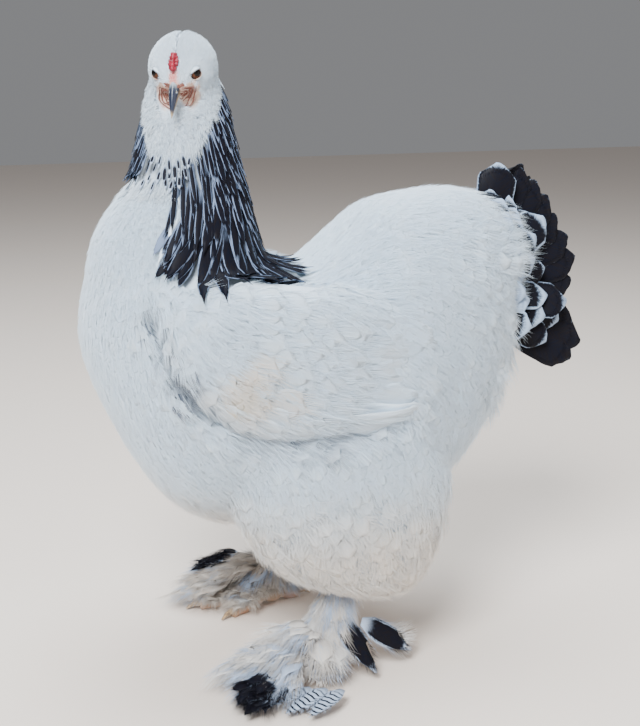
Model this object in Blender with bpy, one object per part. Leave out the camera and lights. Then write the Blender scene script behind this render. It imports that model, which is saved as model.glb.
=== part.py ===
# Light brahma hen, a still, life-size model. Metres, +Z up.
# The hen faces -X, with her left side towards -Y. She stands on both feet, with the neck raised
# and the head turned to her left. The origin is under the middle of her bounding box.
import math
import random

import bmesh
import bpy
from mathutils import Matrix, Vector
from mathutils.bvhtree import BVHTree

# Whole animal
GAP = 0.0003
FEATHER_GAP = 0.00024
ATTEMPTS = 12
SEED = 11
RING_SIDES = 20
SIDES = {"left": -1, "right": 1}

# Torso, lofted along X: distance along the body, top, bottom, half width, height of the widest place
TORSO_FRONT = -0.222
TORSO_REAR = 0.236
TORSO_RINGS = 14
TORSO_STATIONS = [
    (-0.222, 0.480, 0.262, 0.112, 0.350),
    (-0.160, 0.462, 0.186, 0.124, 0.325),
    (-0.100, 0.446, 0.152, 0.129, 0.300),
    (-0.040, 0.420, 0.140, 0.133, 0.285),
    (0.000, 0.408, 0.134, 0.137, 0.280),
    (0.040, 0.434, 0.131, 0.138, 0.285),
    (0.085, 0.470, 0.136, 0.133, 0.300),
    (0.140, 0.478, 0.162, 0.117, 0.325),
    (0.190, 0.484, 0.206, 0.099, 0.350),
    (0.236, 0.484, 0.256, 0.082, 0.370),
]
BREAST_ROUNDING = 0.112
BREAST_FULLNESS = 2.1
RUMP_ROUNDING = 0.100
RUMP_FULLNESS = 2.7
TORSO_SQUARENESS = 2.15
RUMP_CUT_X = 0.045
RUMP_CUT_SLOPE = 0.30

# Neck, lofted upwards: height, middle in X, half depth in X, half width in Y, middle in Y
NECK_RINGS = 10
NECK_STATIONS = [
    (0.330, -0.122, 0.082, 0.088, 0.0),
    (0.400, -0.126, 0.089, 0.088, 0.0),
    (0.440, -0.126, 0.081, 0.076, 0.0),
    (0.470, -0.121, 0.069, 0.063, 0.0),
    (0.497, -0.114, 0.055, 0.052, 0.0),
    (0.522, -0.113, 0.049, 0.045, 0.001),
    (0.545, -0.112, 0.045, 0.041, 0.003),
    (0.568, -0.112, 0.040, 0.037, 0.006),
    (0.590, -0.112, 0.033, 0.033, 0.007),
    (0.606, -0.114, 0.025, 0.025, 0.007),
]
NECK_CUT_Z = 0.449
NECK_CUT_SLOPE = 0.19
HEAD_CUT_Z = 0.564
HEAD_CUT_SLOPE = 0.35

# Rows of the hackle cape: root height, number, length, width, and reach round the neck from the nape
HACKLE_ROWS = [
    (0.569, 6, 0.040, 0.0170, 104),
    (0.548, 6, 0.048, 0.0200, 116),
    (0.526, 7, 0.054, 0.0220, 124),
    (0.503, 7, 0.062, 0.0260, 128),
    (0.480, 8, 0.070, 0.0300, 122),
    (0.457, 8, 0.093, 0.0340, 112),
]
ROW_FALL = 0.016
HACKLE_SUNK = 0.0035
HACKLE_RISE = 0.0110
NAPE_TURN_BASE = 8.0
NAPE_TURN_TOP = 58.0

# Head: its middle, where it looks and its own loft from nape to beak
HEAD_MIDDLE = Vector((-0.1178, -0.0080, 0.5985))
HEAD_TURN = 60.0
HEAD_DROP = 30.0
HEAD_RINGS = 10
HEAD_BACK = -0.0345
HEAD_FRONT = 0.0385
HEAD_STATIONS = [
    (-0.0345, 0.0310, 0.0330, 0.0400),
    (-0.0150, 0.0335, 0.0342, 0.0420),
    (0.0000, 0.0328, 0.0335, 0.0390),
    (0.0150, 0.0280, 0.0290, 0.0330),
    (0.0270, 0.0212, 0.0220, 0.0260),
    (0.0385, 0.0150, 0.0155, 0.0190),
]
EYE_RADIUS = 0.0056
EYE_PLACE = Vector((0.0195, 0.0179, 0.0084))
EYE_OUTWARD = Vector((0.62, 0.78, -0.02))
LID_RING = 0.0056
LID_THICK = 0.0013
BROW_LENGTH = 0.0150
BEAK_ROOT = 0.0315
BEAK_TIP = 0.0570
BEAK_HALF_WIDTH = 0.0056
BEAK_HEIGHT = 0.0096
BEAK_HOOK = 0.0150
BEAK_LIFT = -0.0012
NOSTRIL = Vector((0.0405, 0.0041, 0.0014))
NOSTRIL_HALF = (0.0015, 0.0012, 0.0006)
COMB_LOW = Vector((0.0350, 0.0, 0.0180))
COMB_HIGH = Vector((0.022, 0.0, 0.036))
COMB_KNOB = 0.0034
COMB_HALF_WIDTH = 0.0032
COMB_KNOBS = 3
WATTLE_TOP = 0.0030
WATTLE_LENGTH = 0.0130
WATTLE_FOLDS = 3
WATTLE_FORWARD = 0.0430
WATTLE_FIRST_FOLD = 0.0085
WATTLE_FOLD_PITCH = 0.0038

# Wing, folded flat on the torso's side
WING_MIDDLE = Vector((-0.044, 0.104, 0.330))
WING_HALF = Vector((0.132, 0.040, 0.082))
WING_FULLNESS = 2.5
WING_DROP = 9.0
WING_SPLAY = 3.0
WING_ROWS = [
    # share along the wing, highest and lowest share across it, number, length, width, heading down
    ("primary", 0.36, -0.50, -0.80, 2, 0.098, 0.026, 2.0),
    ("secondary", 0.22, 0.62, -0.54, 4, 0.116, 0.046, 6.0),
    ("greater covert", 0.02, 0.64, -0.56, 4, 0.076, 0.044, 4.0),
    ("middle covert", -0.28, 0.58, -0.53, 4, 0.070, 0.042, 4.0),
    ("lesser covert", -0.58, 0.44, -0.42, 3, 0.066, 0.042, 6.0),
]
WING_ROLL = 13.0
VANE_THICKNESS = 0.0009
WING_SUNK = 0.0030
WING_RISE = 0.0055

# Tail: the stub that carries it, main feathers and coverts, from the top pair to the lowest
TAIL_MIDDLE = Vector((0.206, 0.0, 0.386))
TAIL_HALF = Vector((0.036, 0.048, 0.080))
TAIL_PITCHES = (62, 47, 33, 19, 5, -11, -24)
TAIL_LENGTHS = (0.084, 0.090, 0.094, 0.094, 0.088, 0.097, 0.093)
TAIL_TOP_SPREAD = 5.0
TAIL_LOW_SPREAD = 26.0
TAIL_WIDTH = 0.044
COVERT_PITCHES = (50, 27, 4, -19)
COVERT_LENGTH = 0.058
COVERT_WIDTH = 0.040

# Thigh, lofted upwards: height, middle in X, half depth in X, middle in Y, half width in Y
THIGH_RINGS = 9
THIGH_STATIONS = [
    (0.078, 0.060, 0.046, 0.084, 0.040),
    (0.110, 0.034, 0.088, 0.084, 0.052),
    (0.150, 0.024, 0.108, 0.084, 0.057),
    (0.200, 0.016, 0.120, 0.082, 0.060),
    (0.260, 0.010, 0.118, 0.078, 0.060),
    (0.320, 0.010, 0.090, 0.070, 0.050),
]

# Legs and feet: the middle of each foot, and its turn outwards
FEET = {"left": (Vector((-0.010, -0.083, 0.0)), 6.0), "right": (Vector((-0.002, 0.088, 0.0)), 4.0)}
ANKLE = Vector((0.006, 0.0, 0.028))
LEG_MIDDLE = Vector((0.016, 0.0, 0.070))
HOCK = Vector((0.036, 0.0, 0.135))
TOE_RADIUS = 0.0080
TOES = {"inner": (-30.0, 0.058), "middle": (2.0, 0.080), "outer": (33.0, 0.064), "hind": (172.0, 0.036)}
CLAW_LENGTH = 0.017
FOOT_FEATHER_ROWS = [
    # height of the root, first and last bearing, number, length, width, drop of the heading
    (0.076, 50, 168, 3, 0.066, 0.036, 0.62),
    (0.056, 28, 176, 4, 0.092, 0.038, 0.42),
    (0.031, 44, 152, 3, 0.114, 0.042, 0.14),
]
FOOT_ROLL = 11.0
TOE_FEATHERS = {"middle": (0.55, 0.088, 0.034, -4), "outer": (0.35, 0.094, 0.032, 24)}


def clear_scene():
    for old in list(bpy.data.objects):
        bpy.data.objects.remove(old)


def make_material(name, colour, roughness, metallic=0.0):
    material = bpy.data.materials.new(name)
    material.use_nodes = True
    shader = material.node_tree.nodes["Principled BSDF"]
    shader.inputs["Base Color"].default_value = (*colour, 1.0)
    shader.inputs["Roughness"].default_value = roughness
    shader.inputs["Metallic"].default_value = metallic
    return material


def link_mesh(name, bm, collection=None):
    mesh = bpy.data.meshes.new(name)
    bm.to_mesh(mesh)
    bm.free()
    made = bpy.data.objects.new(name, mesh)
    (collection or bpy.context.scene.collection).objects.link(made)
    return made


def curve_through(stations, column):
    """A smooth curve of one column of a station table that never overshoots its stations."""
    xs = [row[0] for row in stations]
    ys = [row[column] for row in stations]
    steps = [(ys[i + 1] - ys[i]) / (xs[i + 1] - xs[i]) for i in range(len(xs) - 1)]
    slopes = [steps[0]]
    for a, b in zip(steps, steps[1:]):
        slopes.append(0.0 if a * b <= 0 else 2 * a * b / (a + b))
    slopes.append(steps[-1])

    def value(x):
        x = min(max(x, xs[0]), xs[-1])
        i = max(k for k in range(len(xs) - 1) if xs[k] <= x)
        h = xs[i + 1] - xs[i]
        t = (x - xs[i]) / h
        return (
            (1 + 2 * t) * (1 - t) ** 2 * ys[i]
            + t * (1 - t) ** 2 * h * slopes[i]
            + t * t * (3 - 2 * t) * ys[i + 1]
            + t * t * (t - 1) * h * slopes[i + 1]
        )

    return value


def blend(a, b, t):
    return a + (b - a) * t


def ease(t):
    t = min(max(t, 0.0), 1.0)
    return t * t * (3 - 2 * t)


def add_loft(bm, rings, start_pole, end_pole):
    """A closed skin over rings of equal count, from one pole to the other."""
    loops = [[bm.verts.new(p) for p in ring] for ring in rings]
    count = len(loops[0])
    first, last = bm.verts.new(start_pole), bm.verts.new(end_pole)
    for k in range(count):
        n = (k + 1) % count
        bm.faces.new((first, loops[0][n], loops[0][k]))
        bm.faces.new((last, loops[-1][k], loops[-1][n]))
        for a, b in zip(loops, loops[1:]):
            bm.faces.new((a[k], a[n], b[n], b[k]))


def finish_loft(name, bm):
    bmesh.ops.recalc_face_normals(bm, faces=bm.faces[:])
    bmesh.ops.triangulate(bm, faces=bm.faces[:])
    return link_mesh(name, bm)


def power(value, exponent):
    return math.copysign(abs(value) ** exponent, value)


def torso_rounding(x):
    """How much of its full section the torso has at x: 1 along the middle, 0 at both ends."""
    front = max(0.0, (TORSO_FRONT + BREAST_ROUNDING - x) / BREAST_ROUNDING)
    rear = max(0.0, (x - TORSO_REAR + RUMP_ROUNDING) / RUMP_ROUNDING)
    near_breast = max(0.0, 1 - front**BREAST_FULLNESS) ** (1 / BREAST_FULLNESS)
    near_rump = max(0.0, 1 - rear**RUMP_FULLNESS) ** (1 / RUMP_FULLNESS)
    return min(near_breast, near_rump)


def build_torso():
    top, bottom, width, middle = (curve_through(TORSO_STATIONS, k) for k in (1, 2, 3, 4))
    rings = []
    for i in range(1, TORSO_RINGS):
        x = blend(TORSO_FRONT, TORSO_REAR, (1 - math.cos(math.pi * i / TORSO_RINGS)) / 2)
        share = torso_rounding(x)
        ring = []
        for k in range(RING_SIDES):
            angle = 2 * math.pi * k / RING_SIDES
            across = power(math.cos(angle), 2 / TORSO_SQUARENESS)
            upward = power(math.sin(angle), 2 / TORSO_SQUARENESS)
            reach = (top(x) if upward > 0 else bottom(x)) - middle(x)
            ring.append(Vector((x, across * width(x) * share, middle(x) + abs(upward) * reach * share)))
        rings.append(ring)
    bm = bmesh.new()
    ends = [Vector((x, 0, middle(x))) for x in (TORSO_FRONT, TORSO_REAR)]
    add_loft(bm, rings, *ends)
    return finish_loft("torso", bm)


def neck_point(z, bearing, outward=0.0):
    """A point of the neck's surface. Bearing 0 is towards +X, and 90 towards +Y."""
    middle_x, depth, width, middle_y = (curve_through(NECK_STATIONS, k)(z) for k in (1, 2, 3, 4))
    angle = math.radians(bearing)
    x = middle_x + (depth + outward) * math.cos(angle)
    return Vector((x, middle_y + (width + outward) * math.sin(angle), z))


def build_neck():
    low, high = NECK_STATIONS[0][0], NECK_STATIONS[-1][0]
    rings = []
    for i in range(NECK_RINGS + 1):
        z = blend(low, high, i / NECK_RINGS)
        rings.append([neck_point(z, 360 * k / RING_SIDES) for k in range(RING_SIDES)])
    bm = bmesh.new()
    foot, crown = NECK_STATIONS[0], NECK_STATIONS[-1]
    foot_pole = Vector((foot[1], foot[4], low - 0.03))
    crown_pole = Vector((crown[1], crown[4], high + 0.01))
    add_loft(bm, rings, foot_pole, crown_pole)
    return finish_loft("neck", bm)


def head_frame():
    """The matrix that takes forward, left and up in the head to the hen's own frame."""
    turn, drop = math.radians(HEAD_TURN), math.radians(HEAD_DROP)
    level = Vector((-math.cos(turn), -math.sin(turn), 0))
    forward = level * math.cos(drop) - Vector((0, 0, math.sin(drop)))
    left = Vector((0, 0, 1)).cross(level)
    up = forward.cross(left)
    frame = Matrix((forward, left, up)).transposed().to_4x4()
    frame.translation = HEAD_MIDDLE
    return frame


def build_head():
    width, top, bottom = (curve_through(HEAD_STATIONS, k) for k in (1, 2, 3))
    rings = []
    for i in range(1, HEAD_RINGS):
        angle = math.pi * i / HEAD_RINGS
        forward = blend(HEAD_BACK, HEAD_FRONT, (1 - math.cos(angle)) / 2)
        share = math.sin(angle) ** 0.62
        ring = []
        for k in range(RING_SIDES):
            turn = 2 * math.pi * k / RING_SIDES
            up = math.sin(turn)
            reach = top(forward) if up > 0 else bottom(forward)
            ring.append(Vector((forward, math.cos(turn) * width(forward) * share, up * reach * share)))
        rings.append(ring)
    bm = bmesh.new()
    add_loft(bm, rings, Vector((HEAD_BACK, 0, 0)), Vector((HEAD_FRONT, 0, -0.002)))
    bmesh.ops.transform(bm, matrix=head_frame(), verts=bm.verts[:])
    return finish_loft("head", bm)


def add_ball(bm, place, half, segments=12, turn=None):
    """An ellipsoid with its half sizes along its own axes."""
    matrix = Matrix.Translation(place) @ (turn or Matrix.Identity(4)) @ Matrix.Diagonal((*half, 1.0))
    rows = segments // 2 + 1
    bmesh.ops.create_uvsphere(bm, u_segments=segments, v_segments=rows, radius=1.0, matrix=matrix)


def ball(name, place, half, segments=12, turn=None):
    bm = bmesh.new()
    add_ball(bm, place, half, segments, turn)
    return finish_loft(name, bm)


def turn_to(direction, axis="Z"):
    return Vector(direction).to_track_quat(axis, "Y").to_matrix().to_4x4()


def join_boolean(target, others, operation, solver="MANIFOLD"):
    """Applies one Boolean of a collection of helpers to target, and removes the helpers."""
    helpers = bpy.data.collections.new("helpers")
    for other in others:
        helpers.objects.link(other)
    step = target.modifiers.new("join", "BOOLEAN")
    step.operation = operation
    step.operand_type = "COLLECTION"
    step.collection = helpers
    step.solver = solver
    graph = bpy.context.evaluated_depsgraph_get()
    made = bpy.data.meshes.new_from_object(target.evaluated_get(graph))
    target.modifiers.clear()
    target.data = made
    merge_flat_faces(target)
    for other in others:
        bpy.data.objects.remove(other)
    bpy.data.collections.remove(helpers)


def merge_flat_faces(obj):
    """Joins triangles that lie in one plane and cuts them anew, where the solid stays closed."""
    bm = shape_of(obj)
    bmesh.ops.dissolve_limit(bm, angle_limit=math.radians(0.6), verts=bm.verts[:], edges=bm.edges[:])
    bmesh.ops.triangulate(bm, faces=bm.faces[:])
    if all(edge.is_manifold for edge in bm.edges):
        bm.to_mesh(obj.data)
    bm.free()


def shape_of(obj):
    bm = bmesh.new()
    bm.from_mesh(obj.data)
    return bm


def swollen(obj, by):
    """A copy of a smooth solid, moved outwards by a gap."""
    bm = shape_of(obj)
    bmesh.ops.remove_doubles(bm, verts=bm.verts[:], dist=1e-6)
    bm.normal_update()
    for v, place in [(v, v.co + v.normal * by) for v in bm.verts]:
        v.co = place
    return link_mesh(obj.name + "_swollen", bm)


def cut_clear(obj, others, by=GAP):
    join_boolean(obj, [swollen(other, by) for other in others], "DIFFERENCE")


def copy_of(obj, name):
    made = bpy.data.objects.new(name, obj.data.copy())
    bpy.context.scene.collection.objects.link(made)
    return made


def keep_side(obj, point, normal):
    """Cuts obj by a plane, and keeps the side that normal points away from."""
    bm = shape_of(obj)
    everything = bm.verts[:] + bm.edges[:] + bm.faces[:]
    bmesh.ops.bisect_plane(bm, geom=everything, plane_co=point, plane_no=normal, clear_outer=True)
    rim = [e for e in bm.edges if e.is_boundary]
    bmesh.ops.edgeloop_fill(bm, edges=rim)
    bmesh.ops.recalc_face_normals(bm, faces=bm.faces[:])
    bmesh.ops.triangulate(bm, faces=bm.faces[:])
    bm.to_mesh(obj.data)
    bm.free()


def closed_when_welded(obj):
    """Whether obj stays one closed surface when points closer than a fifth of a micron are merged."""
    bm = shape_of(obj)
    bmesh.ops.remove_doubles(bm, verts=bm.verts[:], dist=2e-7)
    closed = all(edge.is_manifold for edge in bm.edges)
    bm.free()
    return closed


def keep_largest(obj):
    """Drops every closed surface of obj but the one of most volume."""
    bm = shape_of(obj)
    bmesh.ops.triangulate(bm, faces=bm.faces[:])
    left = set(bm.faces)
    groups = []
    while left:
        group, edge_of = set(), [left.pop()]
        while edge_of:
            face = edge_of.pop()
            group.add(face)
            for edge in face.edges:
                for other in edge.link_faces if len(edge.link_faces) == 2 else ():
                    if other in left:
                        left.remove(other)
                        edge_of.append(other)
        groups.append(group)

    def volume(group):
        return abs(sum(f.verts[0].co.dot(f.verts[1].co.cross(f.verts[2].co)) for f in group))

    groups.sort(key=volume)
    for group in groups[:-1]:
        bmesh.ops.delete(bm, geom=list(group), context="FACES")
    bm.to_mesh(obj.data)
    bm.free()


class Surface:
    """What feathers lie on: the nearest point of several solids, and the way out of them."""

    def __init__(self, *solids):
        verts, faces = [], []
        for solid in solids:
            start = len(verts)
            verts += [v.co.copy() for v in solid.data.vertices]
            faces += [tuple(start + k for k in p.vertices) for p in solid.data.polygons]
        self.tree = BVHTree.FromPolygons(verts, faces)

    def above(self, point, height):
        place, normal, _, distance = self.tree.find_nearest(point)
        outward = point - place
        if outward.dot(normal) > 0 and distance > 1e-5:
            normal = outward.normalized()
        return place + normal * height, normal


def add_vane(bm, places, normals, widths, thickness):
    """A flat, closed feather along its places, with the same triangles on both faces."""
    rings = []
    count = len(places)
    for i, (place, normal, width) in enumerate(zip(places, normals, widths)):
        along = places[min(i + 1, count - 1)] - places[max(i - 1, 0)]
        side = along.cross(normal).normalized()
        normal = side.cross(along).normalized()
        thick = normal * thickness / 2
        corners = (side * width / 2 + thick, -side * width / 2 + thick)
        corners += (-side * width / 2 - thick, side * width / 2 - thick)
        rings.append([bm.verts.new(place + c) for c in corners])
    for a, b in zip(rings, rings[1:]):
        bm.faces.new((a[0], a[1], b[1]))
        bm.faces.new((a[0], b[1], b[0]))
        bm.faces.new((a[2], a[3], b[2]))
        bm.faces.new((a[3], b[3], b[2]))
        for k in (1, 3):
            n = (k + 1) % 4
            bm.faces.new((a[k], a[n], b[n]))
            bm.faces.new((a[k], b[n], b[k]))
    first, last = rings[0], rings[-1]
    bm.faces.new((first[0], first[3], first[1]))
    bm.faces.new((first[1], first[3], first[2]))
    bm.faces.new((last[0], last[1], last[3]))
    bm.faces.new((last[1], last[2], last[3]))


def vane_object(places, normals, widths, thickness):
    bm = bmesh.new()
    add_vane(bm, places, normals, widths, thickness)
    bmesh.ops.recalc_face_normals(bm, faces=bm.faces[:])
    return link_mesh("vane", bm)


# Share of the full width at the root, along the vane and at the tip
POINTED = (0.50, 0.96, 0.92, 0.50, 0.08)
ROUNDED = (0.46, 0.92, 1.0, 0.86, 0.36)
NARROW_ROOTED = (0.22, 0.66, 1.0, 0.92, 0.40)
BROAD = (0.50, 0.90, 1.0, 1.0, 0.84, 0.40)


def turned(vector, axis, degrees):
    return Matrix.Rotation(math.radians(degrees), 3, axis) @ vector


def draped_vane(ground, root, heading, length, width, outline, lifts, own=None, roll=0.0, fall=0.0):
    """A feather from its root, sunk in its own core, that lies on the ground and rises towards its tip."""
    steps = len(outline) - 1
    clear = GAP * 2 + VANE_THICKNESS / 2 + abs(math.sin(math.radians(roll))) * width / 2
    places, normals = [], []
    point, way = root.copy(), heading.normalized()
    for i in range(steps + 1):
        lift = blend(lifts[0], lifts[1], i / steps)
        place, normal = ground.above(point, lift)
        if own and (own.above(point, 0)[0] - ground.above(point, 0)[0]).length > 1e-4:
            place, normal = ground.above(point, max(lift, clear + 0.4 * (lift - lifts[0])))
        way = (way + Vector((0, 0, -fall / steps))).normalized()
        way = (way - normal * way.dot(normal)).normalized()
        places.append(place)
        normals.append(turned(normal, way, roll))
        point = place + way * (length / steps)
    return vane_object(places, normals, [width * share for share in outline], VANE_THICKNESS)


def free_vane(root, heading, normal, length, width, outline, curl=0.0, thickness=0.0010, clear=None):
    """A feather that stands free of any surface, and bends by curl degrees about its flat side."""
    steps = len(outline) - 1
    way, normal = heading.normalized(), normal.normalized()
    side = way.cross(normal).normalized()
    normal = side.cross(way).normalized()
    bend = Matrix.Rotation(math.radians(curl / steps), 3, side)
    places, normals = [root.copy()], [normal.copy()]
    for _ in range(steps):
        point = places[-1] + way * (length / steps)
        if clear:
            point = clear(point)
        places.append(point)
        way, normal = bend @ way, bend @ normal
        normals.append(normal.copy())
    return vane_object(places, normals, [width * share for share in outline], thickness)


def nape_bearing(z):
    """The neck twists with the turned head, from its base to the skull."""
    share = ease((z - 0.43) / (0.59 - 0.43))
    return blend(NAPE_TURN_BASE, NAPE_TURN_TOP, share)


def build_hackle(core, ground, chance):
    vanes = []
    for row, (z, count, length, width, reach) in enumerate(HACKLE_ROWS):
        for k in range(count):
            share = (k + (0.5 if row % 2 else 0.0)) / (count - 0.5) * 2 - 1
            bearing = nape_bearing(z) + share * reach
            size = chance.uniform(0.92, 1.08)
            high = z - ROW_FALL * (1 - math.cos(math.radians(share * reach))) * ease((z - 0.45) / 0.12)
            root = neck_point(high, bearing)
            under = neck_point(high - 0.02, nape_bearing(high - 0.02) + share * reach)
            heading = (under - root) + Vector((0.0, 0.0, -0.006))
            lift = -HACKLE_SUNK + chance.uniform(-0.0004, 0.0004)
            lifts = (lift, lift + HACKLE_RISE + chance.uniform(0, 0.0012))
            long = length * size
            vane = draped_vane(ground, root, heading, long, width, POINTED, lifts, own=core, fall=0.25)
            vanes.append(vane)
    return vanes


def mirrored(point, side):
    return Vector((point.x, point.y * side, point.z))


def build_wing_core(side, name):
    """An ellipsoid made fuller in side view, where its outline is a superellipse."""
    bm = bmesh.new()
    bmesh.ops.create_uvsphere(bm, u_segments=18, v_segments=9, radius=1.0)
    bmesh.ops.rotate(bm, matrix=Matrix.Rotation(math.pi / 2, 3, "X"), verts=bm.verts[:])
    for v in bm.verts:
        sum_of_powers = abs(v.co.x) ** WING_FULLNESS + abs(v.co.z) ** WING_FULLNESS
        if sum_of_powers > 1e-9:
            fuller = math.hypot(v.co.x, v.co.z) / sum_of_powers ** (1 / WING_FULLNESS)
            v.co = Vector((v.co.x * fuller, v.co.y, v.co.z * fuller))
    frame = wing_matrix(side) @ Matrix.Diagonal((*WING_HALF, 1.0))
    bmesh.ops.transform(bm, matrix=frame, verts=bm.verts[:])
    return finish_loft(name, bm)


def wing_matrix(side):
    drop = Matrix.Rotation(math.radians(WING_DROP), 4, "Y")
    splay = Matrix.Rotation(math.radians(WING_SPLAY * side), 4, "Z")
    return Matrix.Translation(mirrored(WING_MIDDLE, side)) @ drop @ splay


def build_wing_feathers(side, core, ground, chance):
    """The rows of a folded wing, from the primaries below to the lesser coverts over the rest."""
    vanes = []
    frame = wing_matrix(side)
    for row, (_, along, high, low, count, length, width, drop) in enumerate(WING_ROWS):
        for k in range(count):
            across = blend(high, low, k / (count - 1)) + chance.uniform(-0.02, 0.02)
            back = along - 0.10 * across * across + chance.uniform(-0.01, 0.01)
            out = math.sqrt(max(0.0, 1 - back * back - across * across))
            local = Vector((back * WING_HALF.x, side * out * WING_HALF.y, across * WING_HALF.z))
            root = core.above(frame @ local, 0)[0]
            tilt = math.radians(drop + 5 * across + chance.uniform(-1.5, 1.5))
            heading = frame.to_3x3() @ Vector((math.cos(tilt), 0, -math.sin(tilt)))
            low = -WING_SUNK + chance.uniform(-0.0003, 0.0003)
            lifts = (low, WING_RISE + chance.uniform(0, 0.0007))
            roll = WING_ROLL * side * chance.uniform(0.85, 1.15)
            vane = draped_vane(ground, root, heading, length, width, ROUNDED, lifts, own=core, roll=roll)
            vanes.append(vane)
    return vanes


def fan_heading(pitch, spread, side):
    pitch, yaw = math.radians(pitch), math.radians(spread)
    outward = side * math.sin(yaw) * (0.5 + 0.5 * math.cos(pitch))
    return Vector((math.cos(pitch) * math.cos(yaw), outward, math.sin(pitch))).normalized()


def build_tail_feathers(chance):
    """The main feathers of the fan and the coverts over their roots, from the top pair to the lowest."""
    vanes = []
    for side in (-1, 1):
        for k, (pitch, length) in enumerate(zip(TAIL_PITCHES, TAIL_LENGTHS)):
            share = k / (len(TAIL_PITCHES) - 1)
            heading = fan_heading(pitch, blend(TAIL_TOP_SPREAD, TAIL_LOW_SPREAD, share), side)
            outward, high = side * blend(0.004, 0.026, share), blend(0.034, -0.046, share)
            root = TAIL_MIDDLE + Vector((0.012, outward, high))
            flat = Vector((-0.15, side, blend(0.75, 0.20, share)))
            size = length * chance.uniform(0.98, 1.02)
            vane = free_vane(root, heading, flat, size, TAIL_WIDTH, BROAD, curl=-16, thickness=0.0011)
            vanes.append(vane)
        for k, pitch in enumerate(COVERT_PITCHES):
            share = (k + 0.5) / len(COVERT_PITCHES)
            heading = fan_heading(pitch, blend(16, 38, share), side)
            outward, high = side * blend(0.016, 0.036, share), blend(0.040, -0.046, share)
            root = TAIL_MIDDLE + Vector((0.006, outward, high))
            flat = Vector((-0.15, side, blend(0.65, 0.20, share)))
            size = COVERT_LENGTH * chance.uniform(0.93, 1.07)
            vane = free_vane(root, heading, flat, size, COVERT_WIDTH, ROUNDED, curl=-26, thickness=0.0010)
            vanes.append(vane)
    return vanes


def build_thigh(side, name):
    middle_x, depth, middle_y, width = (curve_through(THIGH_STATIONS, k) for k in (1, 2, 3, 4))
    low, high = THIGH_STATIONS[0][0], THIGH_STATIONS[-1][0]
    rings = []
    for i in range(1, THIGH_RINGS + 1):
        z = blend(low, high, (1 - math.cos(math.pi * i / (2 * THIGH_RINGS))))
        share = min(1.0, (1 - (1 - i / THIGH_RINGS) ** 5)) ** 0.5
        ring = []
        for k in range(RING_SIDES):
            angle = 2 * math.pi * k / RING_SIDES
            x = middle_x(z) + depth(z) * share * math.cos(angle)
            y = side * (middle_y(z) + width(z) * share * math.sin(angle))
            ring.append(Vector((x, y, z)))
        rings.append(ring)
    bm = bmesh.new()
    ends = [Vector((middle_x(z), side * middle_y(z), z)) for z in (low, high)]
    add_loft(bm, rings, *ends)
    return finish_loft(name, bm)


def add_tube(bm, places, radii, sides=10):
    """A round tube with closed ends along its places."""
    rings = []
    for i, (place, radius) in enumerate(zip(places, radii)):
        along = places[min(i + 1, len(places) - 1)] - places[max(i - 1, 0)]
        turn = turn_to(along).to_3x3()
        ring = []
        for k in range(sides):
            angle = 2 * math.pi * k / sides
            ring.append(place + turn @ Vector((math.cos(angle) * radius, math.sin(angle) * radius, 0)))
        rings.append(ring)
    add_loft(bm, rings, places[0], places[-1])


def tube(name, places, radii, sides=10):
    bm = bmesh.new()
    add_tube(bm, places, radii, sides)
    return finish_loft(name, bm)


def bearing_vector(bearing, side):
    """A level direction: bearing 0 is straight ahead, and 90 is outwards on that side."""
    angle = math.radians(bearing)
    return Vector((-math.cos(angle), side * math.sin(angle), 0))


def toe_places(foot, bearing, length, side):
    way = bearing_vector(bearing, side)
    height = TOE_RADIUS * 0.72
    start = foot + Vector((0, 0, height * 1.5))
    arch = [(0.0, 0.010), (0.34, 0.006), (0.68, 0.001), (1.0, -0.0005)]
    return [start + way * (length * share) + Vector((0, 0, rise - 0.5 * height)) for share, rise in arch]


def over_floor(low):
    """Keeps a feather's points above a low height over the floor."""
    return lambda point: Vector((point.x, point.y, max(point.z, low)))


def build_claw(name, tip, way):
    bend = ((-0.25, 0.0008), (0.15, 0.0022), (0.55, 0.0012), (0.95, -0.0028))
    places = [tip + way * (CLAW_LENGTH * share) + Vector((0, 0, rise)) for share, rise in bend]
    claw = tube(name, places, [0.0034, 0.0034, 0.0025, 0.0008], 7)
    keep_side(claw, Vector((0, 0, 0.0004)), Vector((0, 0, -1)))
    return claw


def build_leg_feathers(side, foot, turn, chance):
    """Three rows down the outer side of the shank, then the feathers of the middle and outer toes."""
    vanes = []
    for row, (height, first, last, count, length, width, drop) in enumerate(FOOT_FEATHER_ROWS):
        for k in range(count):
            way = bearing_vector(blend(first, last, k / (count - 1)) + turn, side)
            up_shank = (height - ANKLE.z) / (LEG_MIDDLE.z - ANKLE.z)
            root = foot + blend(ANKLE, LEG_MIDDLE, up_shank) + way * 0.009
            heading = way + Vector((0, 0, -drop))
            flat = turned(way * drop + Vector((0, 0, 1)), way, FOOT_ROLL * side)
            long = length * chance.uniform(0.94, 1.06)
            curl = -20 - 24 * drop
            floor = over_floor(0.0022 + 0.0036 * (2 - row))
            vane = free_vane(root, heading, flat, long, width, NARROW_ROOTED, curl=curl, clear=floor)
            vanes.append(vane)
    for toe, (along, length, width, splay) in TOE_FEATHERS.items():
        bearing, toe_length = TOES[toe]
        places = toe_places(foot, bearing + turn, toe_length, side)
        root = blend(places[0], places[-1], along) + Vector((0, 0, 0.003))
        heading = bearing_vector(bearing + turn + splay, side) + Vector((0, 0, 0.12))
        long = length * chance.uniform(0.95, 1.05)
        floor = over_floor(0.0020)
        vane = free_vane(root, heading, Vector((0, 0, 1)), long, width, ROUNDED, curl=-16, clear=floor)
        vanes.append(vane)
    return vanes


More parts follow.
